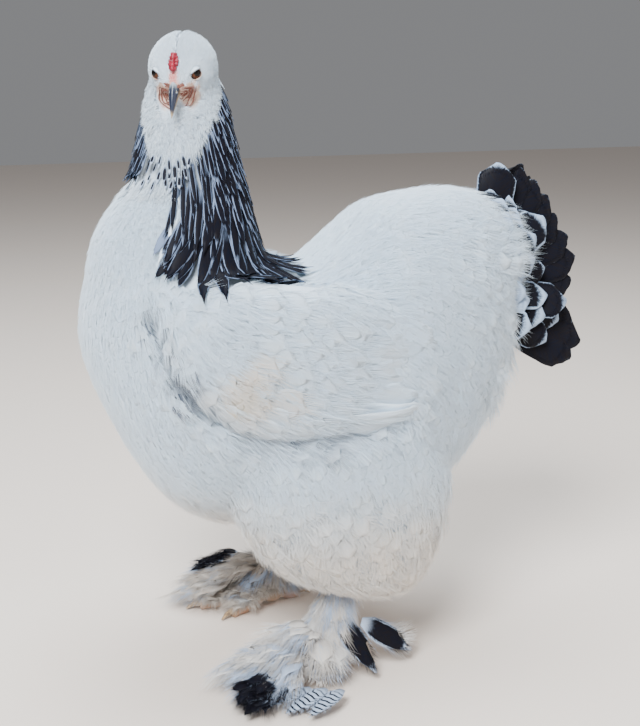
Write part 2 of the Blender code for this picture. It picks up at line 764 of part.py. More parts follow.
def build_leg(side_name, side, chance):
    """One leg from the hock to the soles, with its feathers. The plain shank is returned beside it."""
    foot, turn = FEET[side_name]
    low, high = foot + LEG_MIDDLE, foot + HOCK
    places = [foot + ANKLE, low, blend(low, high, 0.5), high]
    shank = tube("shank", places, [0.0135, 0.0140, 0.0160, 0.0190], 12)
    leg = ball(f"leg_{side_name}", foot + Vector((0.002, 0, 0.012)), (0.020, 0.017, 0.020), 12)
    toes, claws = [], []
    for toe, (bearing, length) in TOES.items():
        places = toe_places(foot, bearing + turn, length, side)
        radii = [TOE_RADIUS * 1.25, TOE_RADIUS * 1.1, TOE_RADIUS, TOE_RADIUS * 0.72]
        toes.append(tube("toe", places, radii, 8))
        way = bearing_vector(bearing + turn, side)
        claws.append(build_claw(f"claw_{side_name}_{toe}", places[-1], way))
    vanes = build_leg_feathers(side, foot, turn, chance)
    join_boolean(leg, [copy_of(shank, "shank_part"), *toes, *vanes], "UNION")
    keep_side(leg, Vector(), Vector((0, 0, -1)))
    for claw in claws:
        cut_clear(leg, [claw])
    keep_largest(leg)
    return leg, shank, claws


def build_beak():
    """Both halves of the beak, in the head's own frame: forward, left, up."""
    frame = head_frame()
    halves = {}
    for name, up in (("beak_upper", 1), ("beak_lower", -1)):
        places, rings = [], []
        for i in range(7):
            share = i / 6
            length = 1.0 if up > 0 else 0.86
            forward = blend(BEAK_ROOT, BEAK_TIP, share * length)
            droop = BEAK_LIFT - BEAK_HOOK * (share * length) ** 1.7
            taper = (1 - share**1.5) ** 0.8 if i < 6 else 0.06
            ring = []
            for k in range(12):
                turn = 2 * math.pi * k / 12
                y = math.cos(turn) * BEAK_HALF_WIDTH * taper
                z = math.sin(turn)
                if up > 0:
                    z = z * BEAK_HEIGHT * taper if z > 0 else z * 0.0012 * taper
                else:
                    z = z * 0.0052 * taper if z < 0 else z * 0.0004 * taper
                    y *= 0.86
                ring.append(Vector((forward, y, z + droop - (0.0022 if up < 0 else 0))))
            rings.append(ring)
            places.append(Vector((forward, 0, droop - (0.0030 if up < 0 else -0.001))))
        bm = bmesh.new()
        add_loft(bm, rings, places[0], places[-1] + Vector((0.0008, 0, -0.0010)))
        bmesh.ops.transform(bm, matrix=frame, verts=bm.verts[:])
        halves[name] = finish_loft(name, bm)
    nostrils = []
    for side in (-1, 1):
        place = frame @ mirrored(NOSTRIL, side)
        nostrils.append(ball("nostril", place, NOSTRIL_HALF, 8, frame.to_3x3().to_4x4()))
    join_boolean(halves["beak_upper"], nostrils, "DIFFERENCE")
    return halves


def build_eyes_and_lids(head):
    frame = head_frame()
    lids, eyes = [], {}
    for name, side in (("eye_left", 1), ("eye_right", -1)):
        place = Vector((EYE_PLACE.x, side * EYE_PLACE.y, EYE_PLACE.z))
        outward = Vector((EYE_OUTWARD.x, side * EYE_OUTWARD.y, EYE_OUTWARD.z)).normalized()
        eyes[name] = ball(name, frame @ place, (EYE_RADIUS,) * 3, 10)
        for upright, lift in ((1, 0.0012), (-1, -0.0010)):
            ring = []
            turn = turn_to(outward, "Z")
            centre = place + outward * 0.0028
            for k in range(6):
                angle = math.radians(blend(-8, 188, k / 5))
                across, high = math.cos(angle) * LID_RING * 1.12, math.sin(angle) * LID_RING * 0.80
                on_rim = centre + turn @ Vector((across, upright * high, 0))
                ring.append(frame @ (on_rim + Vector((0, 0, lift))))
            lids.append(tube("lid", ring, [LID_THICK * 0.7] + [LID_THICK] * 4 + [LID_THICK * 0.7], 5))
        brow = place + outward * 0.0006 + Vector((-0.0015, 0, 0.0068))
        start = brow + Vector((BROW_LENGTH * 0.5, -side * 0.0060, -0.0030))
        end = brow + Vector((-BROW_LENGTH * 0.5, side * 0.0015, 0.0008))
        radii = [0.0012, 0.0034, 0.0036, 0.0012]
        lids.append(tube("brow", [frame @ blend(start, end, t) for t in (0, 0.33, 0.67, 1)], radii, 6))
    join_boolean(head, lids, "UNION")
    cut_clear(head, list(eyes.values()))
    return eyes


def build_comb(head):
    """Three low rows of knobs over a ridge up the forehead, the middle row highest."""
    frame, ground = head_frame(), Surface(head)

    def on_forehead(share, across, height):
        forward, up = blend(COMB_LOW.x, COMB_HIGH.x, share), blend(COMB_LOW.z, COMB_HIGH.z, share)
        return ground.above(frame @ Vector((forward, across, up)), height)[0]

    places = [on_forehead(k / 5, 0, 0.0) for k in range(6)]
    ridge = tube("comb", places, [0.0014] + [0.0022] * 4 + [0.0014], 6)
    knobs = []
    for row in (-1, 0, 1):
        for k in range(COMB_KNOBS):
            share = (k + (0.5 if row else 0.0)) / COMB_KNOBS
            size = COMB_KNOB * (0.80 if row else 1.0) * (0.75 + 0.4 * math.sin(math.pi * share))
            place = on_forehead(share, row * COMB_HALF_WIDTH, size * (0.25 if row else 0.55))
            knobs.append(ball("knob", place, (size,) * 3, 6))
    join_boolean(ridge, knobs, "UNION")
    return ridge


def build_wattle(head, name, side):
    """A short wrinkled wattle beside the mouth: folds that lie on the face, each with a bulb below."""
    frame, ground = head_frame(), Surface(head)

    def on_face(across, down, height):
        near_face = Vector((WATTLE_FORWARD - 0.55 * across, side * across, WATTLE_TOP - down))
        return ground.above(frame @ near_face, height)[0]

    folds = []
    for k in range(WATTLE_FOLDS):
        across = WATTLE_FIRST_FOLD + WATTLE_FOLD_PITCH * k
        length = WATTLE_LENGTH * (1 - 0.12 * k)
        places = []
        for share in (0, 0.3, 0.65, 1):
            bowed = across + 0.0010 * math.sin(math.pi * share)
            places.append(on_face(bowed, length * share, 0.0013))
        folds.append(tube(name, places, [0.0009, 0.0020, 0.0024, 0.0012], 6))
        folds.append(ball("bulb", on_face(across + 0.0005, length * 0.84, 0.0017), (0.0024,) * 3, 6))
    join_boolean(folds[0], folds[1:], "UNION")
    return folds[0]


def set_looks(nodes):
    looks = {
        "white_feather": ((0.86, 0.87, 0.88), 0.85),
        "hackle_feather": ((0.16, 0.17, 0.20), 0.70),
        "black_feather": ((0.030, 0.028, 0.030), 0.55),
        "foot_feather": ((0.62, 0.62, 0.62), 0.80),
        "horn": ((0.10, 0.11, 0.14), 0.35),
        "comb_skin": ((0.55, 0.10, 0.12), 0.55),
        "eye": ((0.30, 0.11, 0.03), 0.08),
        "claw": ((0.48, 0.36, 0.20), 0.45),
    }
    slots = {
        "neck": "hackle_feather",
        "tail": "black_feather",
        "leg": "foot_feather",
        "comb": "comb_skin",
        "wattle": "comb_skin",
        "beak": "horn",
        "eye": "eye",
        "claw": "claw",
    }
    materials = {name: make_material(name, *look) for name, look in looks.items()}
    for node in nodes:
        slot = slots.get(node.name.split("_")[0], "white_feather")
        node.data.materials.clear()
        node.data.materials.append(materials[slot])
        node.data.shade_smooth()
        node.data.set_sharp_from_angle(angle=math.radians(40))


def stand_on_origin(nodes):
    """Moves every node so that the origin is under the middle of the bounding box."""
    places = [v.co for node in nodes for v in node.data.vertices]
    middle = [(min(p[k] for p in places) + max(p[k] for p in places)) / 2 for k in (0, 1)]
    low = min(p.z for p in places)
    shift = Matrix.Translation((-middle[0], -middle[1], -low))
    for node in nodes:
        node.data.transform(shift)


def part_body(body):
    """Torso, rump, neck and head, parted from the whole body by thin cuts."""
    level = head_frame().to_3x3() @ Vector((1, 0, 0))
    level.z = 0
    neck_cut, neck_way = Vector((-0.1, 0, NECK_CUT_Z)), Vector((NECK_CUT_SLOPE, 0, 1)).normalized()
    rump_cut, rump_way = Vector((RUMP_CUT_X, 0, 0.3)), Vector((1, 0, RUMP_CUT_SLOPE)).normalized()
    head_cut = Vector((NECK_STATIONS[-1][1], 0, HEAD_CUT_Z))
    head_way = (Vector((0, 0, 1)) + level.normalized() * HEAD_CUT_SLOPE).normalized()

    torso, rump, neck, head = (copy_of(body, name) for name in ("torso", "rump", "neck", "head"))
    keep_side(torso, neck_cut, neck_way)
    keep_side(torso, rump_cut, rump_way)
    keep_side(rump, rump_cut + rump_way * GAP, -rump_way)
    keep_side(neck, neck_cut + neck_way * GAP, -neck_way)
    keep_side(neck, head_cut, head_way)
    keep_side(head, head_cut + head_way * GAP, -head_way)

    # The slanted cuts also pass through the other end of the body
    for part in (neck, head):
        keep_side(part, Vector(), Vector((1, 0, 0)))
    keep_side(rump, Vector(), Vector((-1, 0, 0)))
    return torso, rump, neck, head


def build_body():
    torso, neck, head = build_torso(), build_neck(), build_head()
    join_boolean(torso, [neck, head], "UNION")
    torso.name = "body"
    return torso


def build_wing(name, side, core, body, thigh, chance):
    """The core with its feathers. New draws are made until the cut wing is one closed surface."""
    core_surface, ground = Surface(core), Surface(body, core)
    for _ in range(ATTEMPTS):
        wing = copy_of(core, "wing")
        join_boolean(wing, build_wing_feathers(side, core_surface, ground, chance), "UNION")
        cut_clear(wing, [body, thigh], FEATHER_GAP)
        keep_largest(wing)
        if closed_when_welded(wing):
            break
        bpy.data.objects.remove(wing)
    bpy.data.objects.remove(core)
    wing.name = name
    return wing


def build_tail(rump, chance):
    tail = ball("tail", TAIL_MIDDLE, TAIL_HALF, 16)
    cut_clear(rump, [tail])
    keep_largest(rump)
    join_boolean(tail, build_tail_feathers(chance), "UNION")
    cut_clear(tail, [rump], FEATHER_GAP)
    keep_largest(tail)
    return tail


def set_leg(leg, shank, thigh, body):
    """Sets a leg in its thigh, which is cut by the plain shank, and clears its feathers of both."""
    cut_clear(leg, [body])
    cut_clear(thigh, [shank])
    bpy.data.objects.remove(shank)
    keep_largest(thigh)
    cut_clear(leg, [thigh], FEATHER_GAP)
    keep_largest(leg)


def build_face(head):
    """Eyes with lids and brows, beak, comb and wattles, each clear of the head."""
    eyes = build_eyes_and_lids(head)
    beak = build_beak()
    comb = build_comb(head)
    wattles = [build_wattle(head, "wattle_left", 1), build_wattle(head, "wattle_right", -1)]
    cut_clear(beak["beak_lower"], [beak["beak_upper"]])
    for piece in (comb, *wattles):
        cut_clear(piece, [head])
    cut_clear(head, list(beak.values()))
    for wattle in wattles:
        cut_clear(wattle, list(beak.values()))
    pieces = [comb, head, *wattles, *beak.values()]
    for piece in pieces:
        keep_largest(piece)
    return pieces + list(eyes.values())


def build_hen():
    chance = random.Random(SEED)
    body = build_body()
    torso, rump, neck, head = part_body(body)

    wings, thighs = {}, {}
    for name, side in SIDES.items():
        wings[name] = build_wing_core(side, f"wing_{name}")
        cut_clear(wings[name], [body])
        keep_largest(wings[name])
    for name, side in SIDES.items():
        thighs[name] = build_thigh(side, f"thigh_{name}")
        cut_clear(thighs[name], [body, wings[name]])
        keep_side(thighs[name], Vector((0, side * 0.006, 0)), Vector((0, -side, 0)))
        keep_largest(thighs[name])

    join_boolean(neck, build_hackle(Surface(neck), Surface(body, *wings.values()), chance), "UNION")
    cut_clear(neck, [torso, rump, *wings.values()], FEATHER_GAP)
    keep_largest(neck)
    nodes = [torso, rump, neck, *thighs.values()]

    for name, side in SIDES.items():
        nodes.append(build_wing(f"wing_{name}", side, wings[name], body, thighs[name], chance))
    nodes.append(build_tail(rump, chance))
    for name, side in SIDES.items():
        leg, shank, claws = build_leg(name, side, chance)
        set_leg(leg, shank, thighs[name], body)
        nodes += [leg, *claws]
    nodes += build_face(head)

    bpy.data.objects.remove(body)
    set_looks(nodes)
    stand_on_origin(nodes)


clear_scene()
build_hen()
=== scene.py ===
import math
import random

import bmesh
import bpy
import numpy as np
from mathutils import Matrix, Vector
from mathutils.bvhtree import BVHTree


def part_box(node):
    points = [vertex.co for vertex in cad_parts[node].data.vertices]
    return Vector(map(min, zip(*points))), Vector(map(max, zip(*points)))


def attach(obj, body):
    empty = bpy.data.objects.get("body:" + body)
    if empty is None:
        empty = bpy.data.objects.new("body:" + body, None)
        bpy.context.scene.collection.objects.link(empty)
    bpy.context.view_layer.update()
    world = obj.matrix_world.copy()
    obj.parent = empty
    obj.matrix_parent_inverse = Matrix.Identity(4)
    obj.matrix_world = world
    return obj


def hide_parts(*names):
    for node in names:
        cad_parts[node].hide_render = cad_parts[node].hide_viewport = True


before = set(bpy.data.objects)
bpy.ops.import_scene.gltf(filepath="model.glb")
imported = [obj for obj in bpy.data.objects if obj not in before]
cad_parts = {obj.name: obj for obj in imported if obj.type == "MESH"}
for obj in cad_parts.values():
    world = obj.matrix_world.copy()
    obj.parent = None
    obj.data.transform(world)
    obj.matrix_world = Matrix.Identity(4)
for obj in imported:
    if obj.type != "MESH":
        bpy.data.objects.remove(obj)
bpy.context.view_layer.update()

# The hen faces -X and her left side is towards -Y. Measures are in metres, in her own frame,
# and are the same as those of the solids.

torsoShape = {
    "front": -0.222, "rear": 0.236, "square": 2.15,
    "breastRounding": 0.112, "breastFullness": 2.1, "rumpRounding": 0.100, "rumpFullness": 2.7,
    "stations": [  # along, top, bottom, half width, height of the widest place
        (-0.222, 0.480, 0.262, 0.112, 0.350), (-0.160, 0.462, 0.186, 0.124, 0.325),
        (-0.100, 0.446, 0.152, 0.129, 0.300), (-0.040, 0.420, 0.140, 0.133, 0.285),
        (0.000, 0.408, 0.134, 0.137, 0.280), (0.040, 0.434, 0.131, 0.138, 0.285),
        (0.085, 0.470, 0.136, 0.133, 0.300), (0.140, 0.478, 0.162, 0.117, 0.325),
        (0.190, 0.484, 0.206, 0.099, 0.350), (0.236, 0.484, 0.256, 0.082, 0.370),
    ],
}
neckShape = {
    "stations": [  # height, middle in X, half depth, half width, middle in Y
        (0.330, -0.122, 0.082, 0.088, 0.0), (0.400, -0.126, 0.089, 0.088, 0.0),
        (0.440, -0.126, 0.081, 0.076, 0.0), (0.470, -0.121, 0.069, 0.063, 0.0),
        (0.497, -0.114, 0.055, 0.052, 0.0), (0.522, -0.113, 0.049, 0.045, 0.001),
        (0.545, -0.112, 0.045, 0.041, 0.003), (0.568, -0.112, 0.040, 0.037, 0.006),
        (0.590, -0.112, 0.033, 0.033, 0.007), (0.606, -0.114, 0.025, 0.025, 0.007),
    ],
}
headShape = {
    "middle": Vector((-0.1178, -0.0080, 0.5985)), "turn": 60.0, "drop": 30.0,
    "back": -0.0345, "front": 0.0385,
    "stations": [  # forward, half width, top, bottom
        (-0.0345, 0.0310, 0.0330, 0.0400), (-0.0150, 0.0335, 0.0342, 0.0420),
        (0.0000, 0.0328, 0.0335, 0.0390), (0.0150, 0.0280, 0.0290, 0.0330),
        (0.0270, 0.0212, 0.0220, 0.0260), (0.0385, 0.0150, 0.0155, 0.0190),
    ],
}
wingShape = {
    "middle": Vector((-0.044, 0.104, 0.330)), "half": Vector((0.132, 0.040, 0.082)),
    "fullness": 2.5, "drop": 9.0, "splay": 3.0,
}
thighShape = {
    "stations": [  # height, middle in X, half depth, middle in Y, half width
        (0.078, 0.060, 0.046, 0.084, 0.040), (0.110, 0.034, 0.088, 0.084, 0.052),
        (0.150, 0.024, 0.108, 0.084, 0.057), (0.200, 0.016, 0.120, 0.082, 0.060),
        (0.260, 0.010, 0.118, 0.078, 0.060), (0.320, 0.010, 0.090, 0.070, 0.050),
    ],
}
tailShape = {"middle": Vector((0.206, 0.0, 0.386)), "half": Vector((0.036, 0.048, 0.080))}
eyeShape = {  # place and gaze of the left eye, in the head's own frame
    "radius": 0.0056, "place": Vector((0.0195, 0.0179, 0.0084)), "gaze": Vector((0.62, 0.52, 0.48)),
    "cornea": 0.24, "corneaRise": 0.0004,
}
footShape = {
    "feet": {  # place and turn outward
        "left": (Vector((-0.010, -0.083, 0.0)), 6.0), "right": (Vector((-0.002, 0.088, 0.0)), 4.0)},
    "ankle": Vector((0.006, 0.0, 0.028)), "middle": Vector((0.016, 0.0, 0.070)),
    "hock": Vector((0.036, 0.0, 0.135)), "toeRadius": 0.0080, "scuteHeight": 0.0016,
    "shankRadii": [0.0105, 0.0105, 0.0108, 0.011, 0.0115, 0.012, 0.0125, 0.013, 0.014, 0.015],
    "toes": {  # bearing and length
        "inner": (-30.0, 0.058), "middle": (2.0, 0.080), "outer": (33.0, 0.064), "hind": (172.0, 0.036)},
}
sides = {"left": -1, "right": 1}
skyward = Vector((0, 0, 1))


def mix(a, b, t):
    return a + (b - a) * t


def ease(t):
    t = min(max(t, 0.0), 1.0)
    return t * t * (3 - 2 * t)


def onSide(way, side):
    return Vector((way.x, way.y * side, way.z))


def curveThrough(stations, column):
    # smooth curve of one column, which never overshoots its stations
    xs = [row[0] for row in stations]
    ys = [row[column] for row in stations]
    steps = [(ys[i + 1] - ys[i]) / (xs[i + 1] - xs[i]) for i in range(len(xs) - 1)]
    slopes = [steps[0]]
    for a, b in zip(steps, steps[1:]):
        slopes.append(0.0 if a * b <= 0 else 2 * a * b / (a + b))
    slopes.append(steps[-1])

    def value(x):
        x = min(max(x, xs[0]), xs[-1])
        i = max(k for k in range(len(xs) - 1) if xs[k] <= x)
        h = xs[i + 1] - xs[i]
        t = (x - xs[i]) / h
        start = (1 + 2 * t) * (1 - t) ** 2 * ys[i] + t * (1 - t) ** 2 * h * slopes[i]
        return start + t * t * (3 - 2 * t) * ys[i + 1] + t * t * (t - 1) * h * slopes[i + 1]

    return value


torsoCurves = [curveThrough(torsoShape["stations"], k) for k in (1, 2, 3, 4)]
neckCurves = [curveThrough(neckShape["stations"], k) for k in (1, 2, 3, 4)]
headCurves = [curveThrough(headShape["stations"], k) for k in (1, 2, 3)]
thighCurves = [curveThrough(thighShape["stations"], k) for k in (1, 2, 3, 4)]


def headFrame():
    turn, drop = math.radians(headShape["turn"]), math.radians(headShape["drop"])
    level = Vector((-math.cos(turn), -math.sin(turn), 0))
    forward = level * math.cos(drop) - Vector((0, 0, math.sin(drop)))
    left = skyward.cross(level)
    matrix = Matrix((forward, left, forward.cross(left))).transposed().to_4x4()
    matrix.translation = headShape["middle"]
    return matrix


headMatrix = headFrame()
headInverse = headMatrix.inverted()
eyePlaces = {side: onSide(eyeShape["place"], side) for side in (-1, 1)}


def wingFrame(side):
    drop = Matrix.Rotation(math.radians(wingShape["drop"]), 4, "Y")
    splay = Matrix.Rotation(math.radians(wingShape["splay"] * side), 4, "Z")
    return Matrix.Translation(onSide(wingShape["middle"], side)) @ drop @ splay


wingMatrix = {side: wingFrame(side) for side in (-1, 1)}
wingInverse = {side: wingMatrix[side].inverted() for side in (-1, 1)}

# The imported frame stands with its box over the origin, so every piece moves there from her own frame
eyeLow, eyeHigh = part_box("eye_left")
shift = (Vector(eyeLow) + Vector(eyeHigh)) / 2 - headMatrix @ eyeShape["place"]


# Materials, with one small class so that shader maths reads as maths
class Shade:
    def __init__(self, tree, socket=None):
        self.tree = tree
        self.socket = socket

    def node(self, kind, settings, inputs, output=0):
        made = self.tree.nodes.new(kind)
        for key, value in settings.items():
            setattr(made, key, value)
        for key, value in inputs.items():
            if isinstance(value, Shade):
                self.tree.links.new(value.socket, made.inputs[key])
            else:
                made.inputs[key].default_value = value
        return Shade(self.tree, made.outputs[output])

    def maths(self, operation, *values):
        return self.node("ShaderNodeMath", {"operation": operation}, dict(enumerate(values)))

    def __add__(self, other):
        return self.maths("ADD", self, other)

    def __sub__(self, other):
        return self.maths("SUBTRACT", self, other)

    def __rsub__(self, other):
        return self.maths("SUBTRACT", other, self)

    def __mul__(self, other):
        return self.maths("MULTIPLY", self, other)

    __radd__ = __add__
    __rmul__ = __mul__

    def size(self):
        return self.maths("ABSOLUTE", self)

    def most(self, other):
        return self.maths("MAXIMUM", self, other)

    def between(self, low, high):
        # 0 under low, 1 over high, smooth between
        settings = {"interpolation_type": "SMOOTHSTEP"}
        return self.node("ShaderNodeMapRange", settings, {"Value": self, "From Min": low, "From Max": high})

    def blend(self, first, second, share):
        # first turning into second by share, where each may be a plain colour
        ends = {6: first, 7: second}
        ends = {key: end if isinstance(end, Shade) else (*end, 1.0) for key, end in ends.items()}
        return self.node("ShaderNodeMix", {"data_type": "RGBA", "clamp_factor": True}, {0: share, **ends}, 2)

    def into(self, other, share):
        return self.blend(self, other, share)

    def sine(self):
        return self.maths("SINE", self)

    def part(self, index):
        return self.node("ShaderNodeSeparateColor", {}, {0: self}, index)

    def noise(self, vector, scale, detail=2.0, roughness=0.5):
        look = {"Scale": scale, "Detail": detail, "Roughness": roughness}
        return self.node("ShaderNodeTexNoise", {}, {"Vector": vector, **look})

    def spread(self, x, y, z):
        return self.node("ShaderNodeCombineXYZ", {}, {0: x, 1: y, 2: z})

    def place(self):
        return self.node("ShaderNodeTexCoord", {}, {}, 3)

    def mark(self):
        return self.node("ShaderNodeAttribute", {"attribute_name": "mark"}, {})


def newMaterial(name, constants):
    material = bpy.data.materials.new(name)
    material.use_nodes = True
    shader = material.node_tree.nodes["Principled BSDF"]
    for key, value in constants.items():
        shader.inputs[key].default_value = value
    return material, shader, Shade(material.node_tree)


def plug(material, value, socket):
    material.node_tree.links.new(value.socket, socket)


def addBump(material, shader, shade, height, strength, distance):
    bump = shade.node("ShaderNodeBump", {}, {"Height": height, "Strength": strength, "Distance": distance})
    plug(material, bump, shader.inputs["Normal"])


plumage = {
    "coolWhite": (0.735, 0.87, 0.99), "warmWhite": (0.86, 0.78, 0.69), "stain": (0.74, 0.62, 0.40),
    "slate": (0.11, 0.13, 0.18), "black": (0.0045, 0.0055, 0.0110), "brownBlack": (0.0085, 0.0065, 0.0070),
    "lace": (0.36, 0.44, 0.58), "streak": 0.06, "roughness": 0.75, "darkRoughness": 0.46, "sheen": 0.01,
    "tipLace": 1.0, "soft": 0.0, "tint": 0.10, "shine": 0.05,
}


def featherMaterial(name, look, barbPitch, bumpStrength):
    # mark: red = chance, green = how black the middle is, blue = width of the pale lace or, below 0, bars,
    # alpha = cream, which low on the body is also painted warm bounce light, or, below 0, slate, which in the
    # fold under the wing is also painted shade
    material, shader, shade = newMaterial(name, {
        "Roughness": look["roughness"], "Sheen Weight": look["sheen"], "Specular IOR Level": look["shine"],
        "Subsurface Weight": look["soft"], "Subsurface Radius": (1.0, 1.0, 1.0), "Subsurface Scale": 0.0045})
    uv = shade.node("ShaderNodeUVMap", {"uv_map": "feather"}, {})
    across, along = (uv.node("ShaderNodeSeparateXYZ", {}, {0: uv}, index) for index in (0, 1))
    mark = shade.mark()
    cream = Shade(material.node_tree, mark.socket.node.outputs["Alpha"])
    chance, dark, lace = mark.part(0), mark.part(1), mark.part(2)
    side = (across * 2 - 1).size()
    barb = (along - side * 0.30) * barbPitch
    fibres = shade.noise(shade.spread(barb, side * 1.4, chance * 40), 1.0, 2.0, 0.6)
    patchy = shade.noise(shade.spread(along * 3, across * 2, chance * 23), 1.0, 2.0)
    white = shade.blend(look["coolWhite"], look["warmWhite"], cream.between(0.0, 0.5))
    white = white.into(look["stain"], cream.between(0.5, 1.0) * patchy.between(0.35, 0.75))
    shadow = tuple(c * 0.80 for c in look["coolWhite"])
    # painted shade: each feather turns towards the shadow colour near its root, where the feathers over it
    # would shade it
    depth = (1 - along.between(0.20, 0.85)) * 0.16
    tint = chance * look["tint"]
    white = white.into(shadow, fibres.between(0.42, 0.70) * look["streak"] * 4 + tint + depth)
    # slate undercolour; in the fold under the wing it is also painted shade
    white = white.into(look["slate"], (0 - cream).between(0.0, 1.0) * (1.2 - along * 0.7))
    rim = side.most(along * look["tipLace"]) + (fibres - 0.5) * 0.16
    inside = 1 - (rim - (1.02 - lace * 0.36)).between(-0.03, 0.05)
    fluff = (along + fibres * 0.2).between(0.10, 0.34)
    barred = (0 - lace).between(0.1, 0.5)
    bars = ((along - side * 0.03) * 58).sine().between(0.25, 0.60)
    black = shade.blend(look["black"], look["brownBlack"], fibres.between(0.35, 0.75))
    edge = white.into(look["lace"], dark * 0.95)
    mask = inside * dark.between(0.02, 0.30) * fluff * (1 - barred * (1 - bars))
    plug(material, edge.into(black, mask), shader.inputs["Base Color"])
    roughness = look["roughness"] - mask * (look["roughness"] - look["darkRoughness"])
    plug(material, roughness, shader.inputs["Roughness"])
    addBump(material, shader, shade, fibres, bumpStrength, 0.0004)
    return material


def skinMaterial():
    # mark: red = how red the blaze is, green = dark skin under black feathers, and painted shade in the fold
    # under the wing and on the upper lids' rims, blue = bare flesh
    material, shader, shade = newMaterial("pink_skin", {"Roughness": 0.62, "Specular IOR Level": 0.3})
    place = shade.place()
    mark = shade.mark()
    red, dark, bare = mark.part(0), mark.part(1), mark.part(2)
    pores = shade.noise(place, 900.0, 3.0, 0.6)
    blotch = shade.noise(place, 160.0, 2.0)
    down = shade.blend((0.58, 0.67, 0.76), (0.05, 0.05, 0.06), dark)
    flesh = shade.blend((0.68, 0.51, 0.42), (0.56, 0.31, 0.26), blotch.between(0.45, 0.66))
    flesh = flesh.into((0.74, 0.63, 0.54), pores.between(0.50, 0.72))
    specks = shade.noise(place, 1300.0, 1.0)
    flesh = flesh.into((0.42, 0.015, 0.045), red * specks.between(0.34, 0.58))
    flesh = flesh.into((0.10, 0.04, 0.04), specks.between(0.66, 0.72) * 0.8)
    plug(material, down.into(flesh, bare), shader.inputs["Base Color"])
    addBump(material, shader, shade, pores, 0.5, 0.0004)
    return material


def grainMaterial(name, constants, look):
    # two tones that change in patches, with flecks of a third in the fine grain
    material, shader, shade = newMaterial(name, constants)
    place = shade.place()
    grain = shade.noise(place, look["grain"], 3.0, look["rough"])
    patches = shade.noise(place, look["patch"], 2.0)
    tone = shade.blend(look["deep"], look["bright"], patches.between(*look["turn"]))
    tone = tone.into(look["fleck"], grain.between(*look["flecks"]) * look["share"])
    plug(material, tone, shader.inputs["Base Color"])
    addBump(material, shader, shade, grain, look["bump"], 0.0004)
    return material


def hornMaterial():
    # mark: red is 1 on the dark ridge and 0 at the pale edges and the tip, green is a painted pale highlight
    # on top near the root
    material, shader, shade = newMaterial("beak_horn", {
        "Roughness": 0.36, "Coat Weight": 0.08, "Coat Roughness": 0.2})
    place = shade.place()
    mark = shade.mark()
    ridge, root = mark.part(0), mark.part(1)
    layers = shade.noise(place, 700.0, 3.0, 0.6)
    horn = shade.blend((0.46, 0.34, 0.20), (0.28, 0.20, 0.12), layers.between(0.4, 0.65))
    slate = shade.blend((0.010, 0.016, 0.036), (0.05, 0.07, 0.11), layers.between(0.5, 0.75) * 0.6)
    # painted highlight: pale grey on top near the root
    slate = slate.into((0.42, 0.50, 0.56), root)
    plug(material, horn.into(slate, ridge), shader.inputs["Base Color"])
    addBump(material, shader, shade, layers, 0.15, 0.0003)
    return material


def eyeMaterial():
    # mark: red is the share of the way from the middle of the pupil to the back, green is the turn round it
    material, shader, shade = newMaterial("hen_eye", {"Roughness": 0.08, "Specular IOR Level": 0.18})
    mark = shade.mark()
    out, turn = mark.part(0), mark.part(1)
    rays = shade.noise(shade.spread(turn * 40, out * 3, 0.0), 1.0, 2.0)
    iris = shade.blend((0.038, 0.0125, 0.007), (0.105, 0.034, 0.012), rays.between(0.4, 0.65))
    eye = shade.blend((0.004, 0.003, 0.003), iris, out.between(0.175, 0.205))
    eye = eye.into((0.03, 0.010, 0.006), out.between(0.36, 0.42))
    plug(material, eye, shader.inputs["Base Color"])
    return material


def clawMaterial():
    material, shader, shade = newMaterial("claw_horn", {
        "Roughness": 0.35, "Coat Weight": 0.15, "Coat Roughness": 0.25})
    place = shade.place()
    layers = shade.noise(place, 420.0, 3.0, 0.6)
    tone = shade.blend((0.44, 0.30, 0.16), (0.16, 0.10, 0.06), layers.between(0.42, 0.68))
    plug(material, tone, shader.inputs["Base Color"])
    addBump(material, shader, shade, layers, 0.3, 0.0003)
    return material


whitePlumage = dict(plumage, soft=0.50, tint=0.20)
smallPlumage = dict(plumage, coolWhite=(0.66, 0.77, 0.87), warmWhite=(0.76, 0.72, 0.66), soft=0.12, tint=0.75)
hacklePlumage = dict(plumage, streak=0.08, lace=(0.125, 0.170, 0.275), tipLace=0.78)
tailPlumage = dict(plumage, streak=0.08, lace=(0.30, 0.39, 0.54), darkRoughness=0.40, shine=0.07)
footPlumage = dict(plumage, coolWhite=(0.62, 0.61, 0.60), warmWhite=(0.52, 0.46, 0.40),
                   stain=(0.27, 0.21, 0.165), streak=0.12)
fleshSkin = {"Roughness": 0.42, "Subsurface Weight": 0.03, "Subsurface Radius": (1.0, 0.3, 0.2),
             "Subsurface Scale": 0.002}
scaleSkin = {"Roughness": 0.5, "Specular IOR Level": 0.4}
combTone = {
    "deep": (0.15, 0.002, 0.012), "bright": (0.30, 0.004, 0.024), "fleck": (0.48, 0.03, 0.07), "share": 0.4,
    "grain": 1500.0, "rough": 0.65, "patch": 260.0, "turn": (0.35, 0.65), "flecks": (0.58, 0.78), "bump": 0.6,
}
wattleTone = dict(combTone, deep=(0.15, 0.048, 0.032), bright=(0.19, 0.062, 0.042), fleck=(0.46, 0.25, 0.19))
scuteTone = {
    "deep": (0.36, 0.22, 0.12), "bright": (0.48, 0.28, 0.18), "fleck": (0.18, 0.10, 0.06), "share": 0.7,
    "grain": 500.0, "rough": 0.6, "patch": 70.0, "turn": (0.4, 0.6), "flecks": (0.5, 0.72), "bump": 0.4,
}
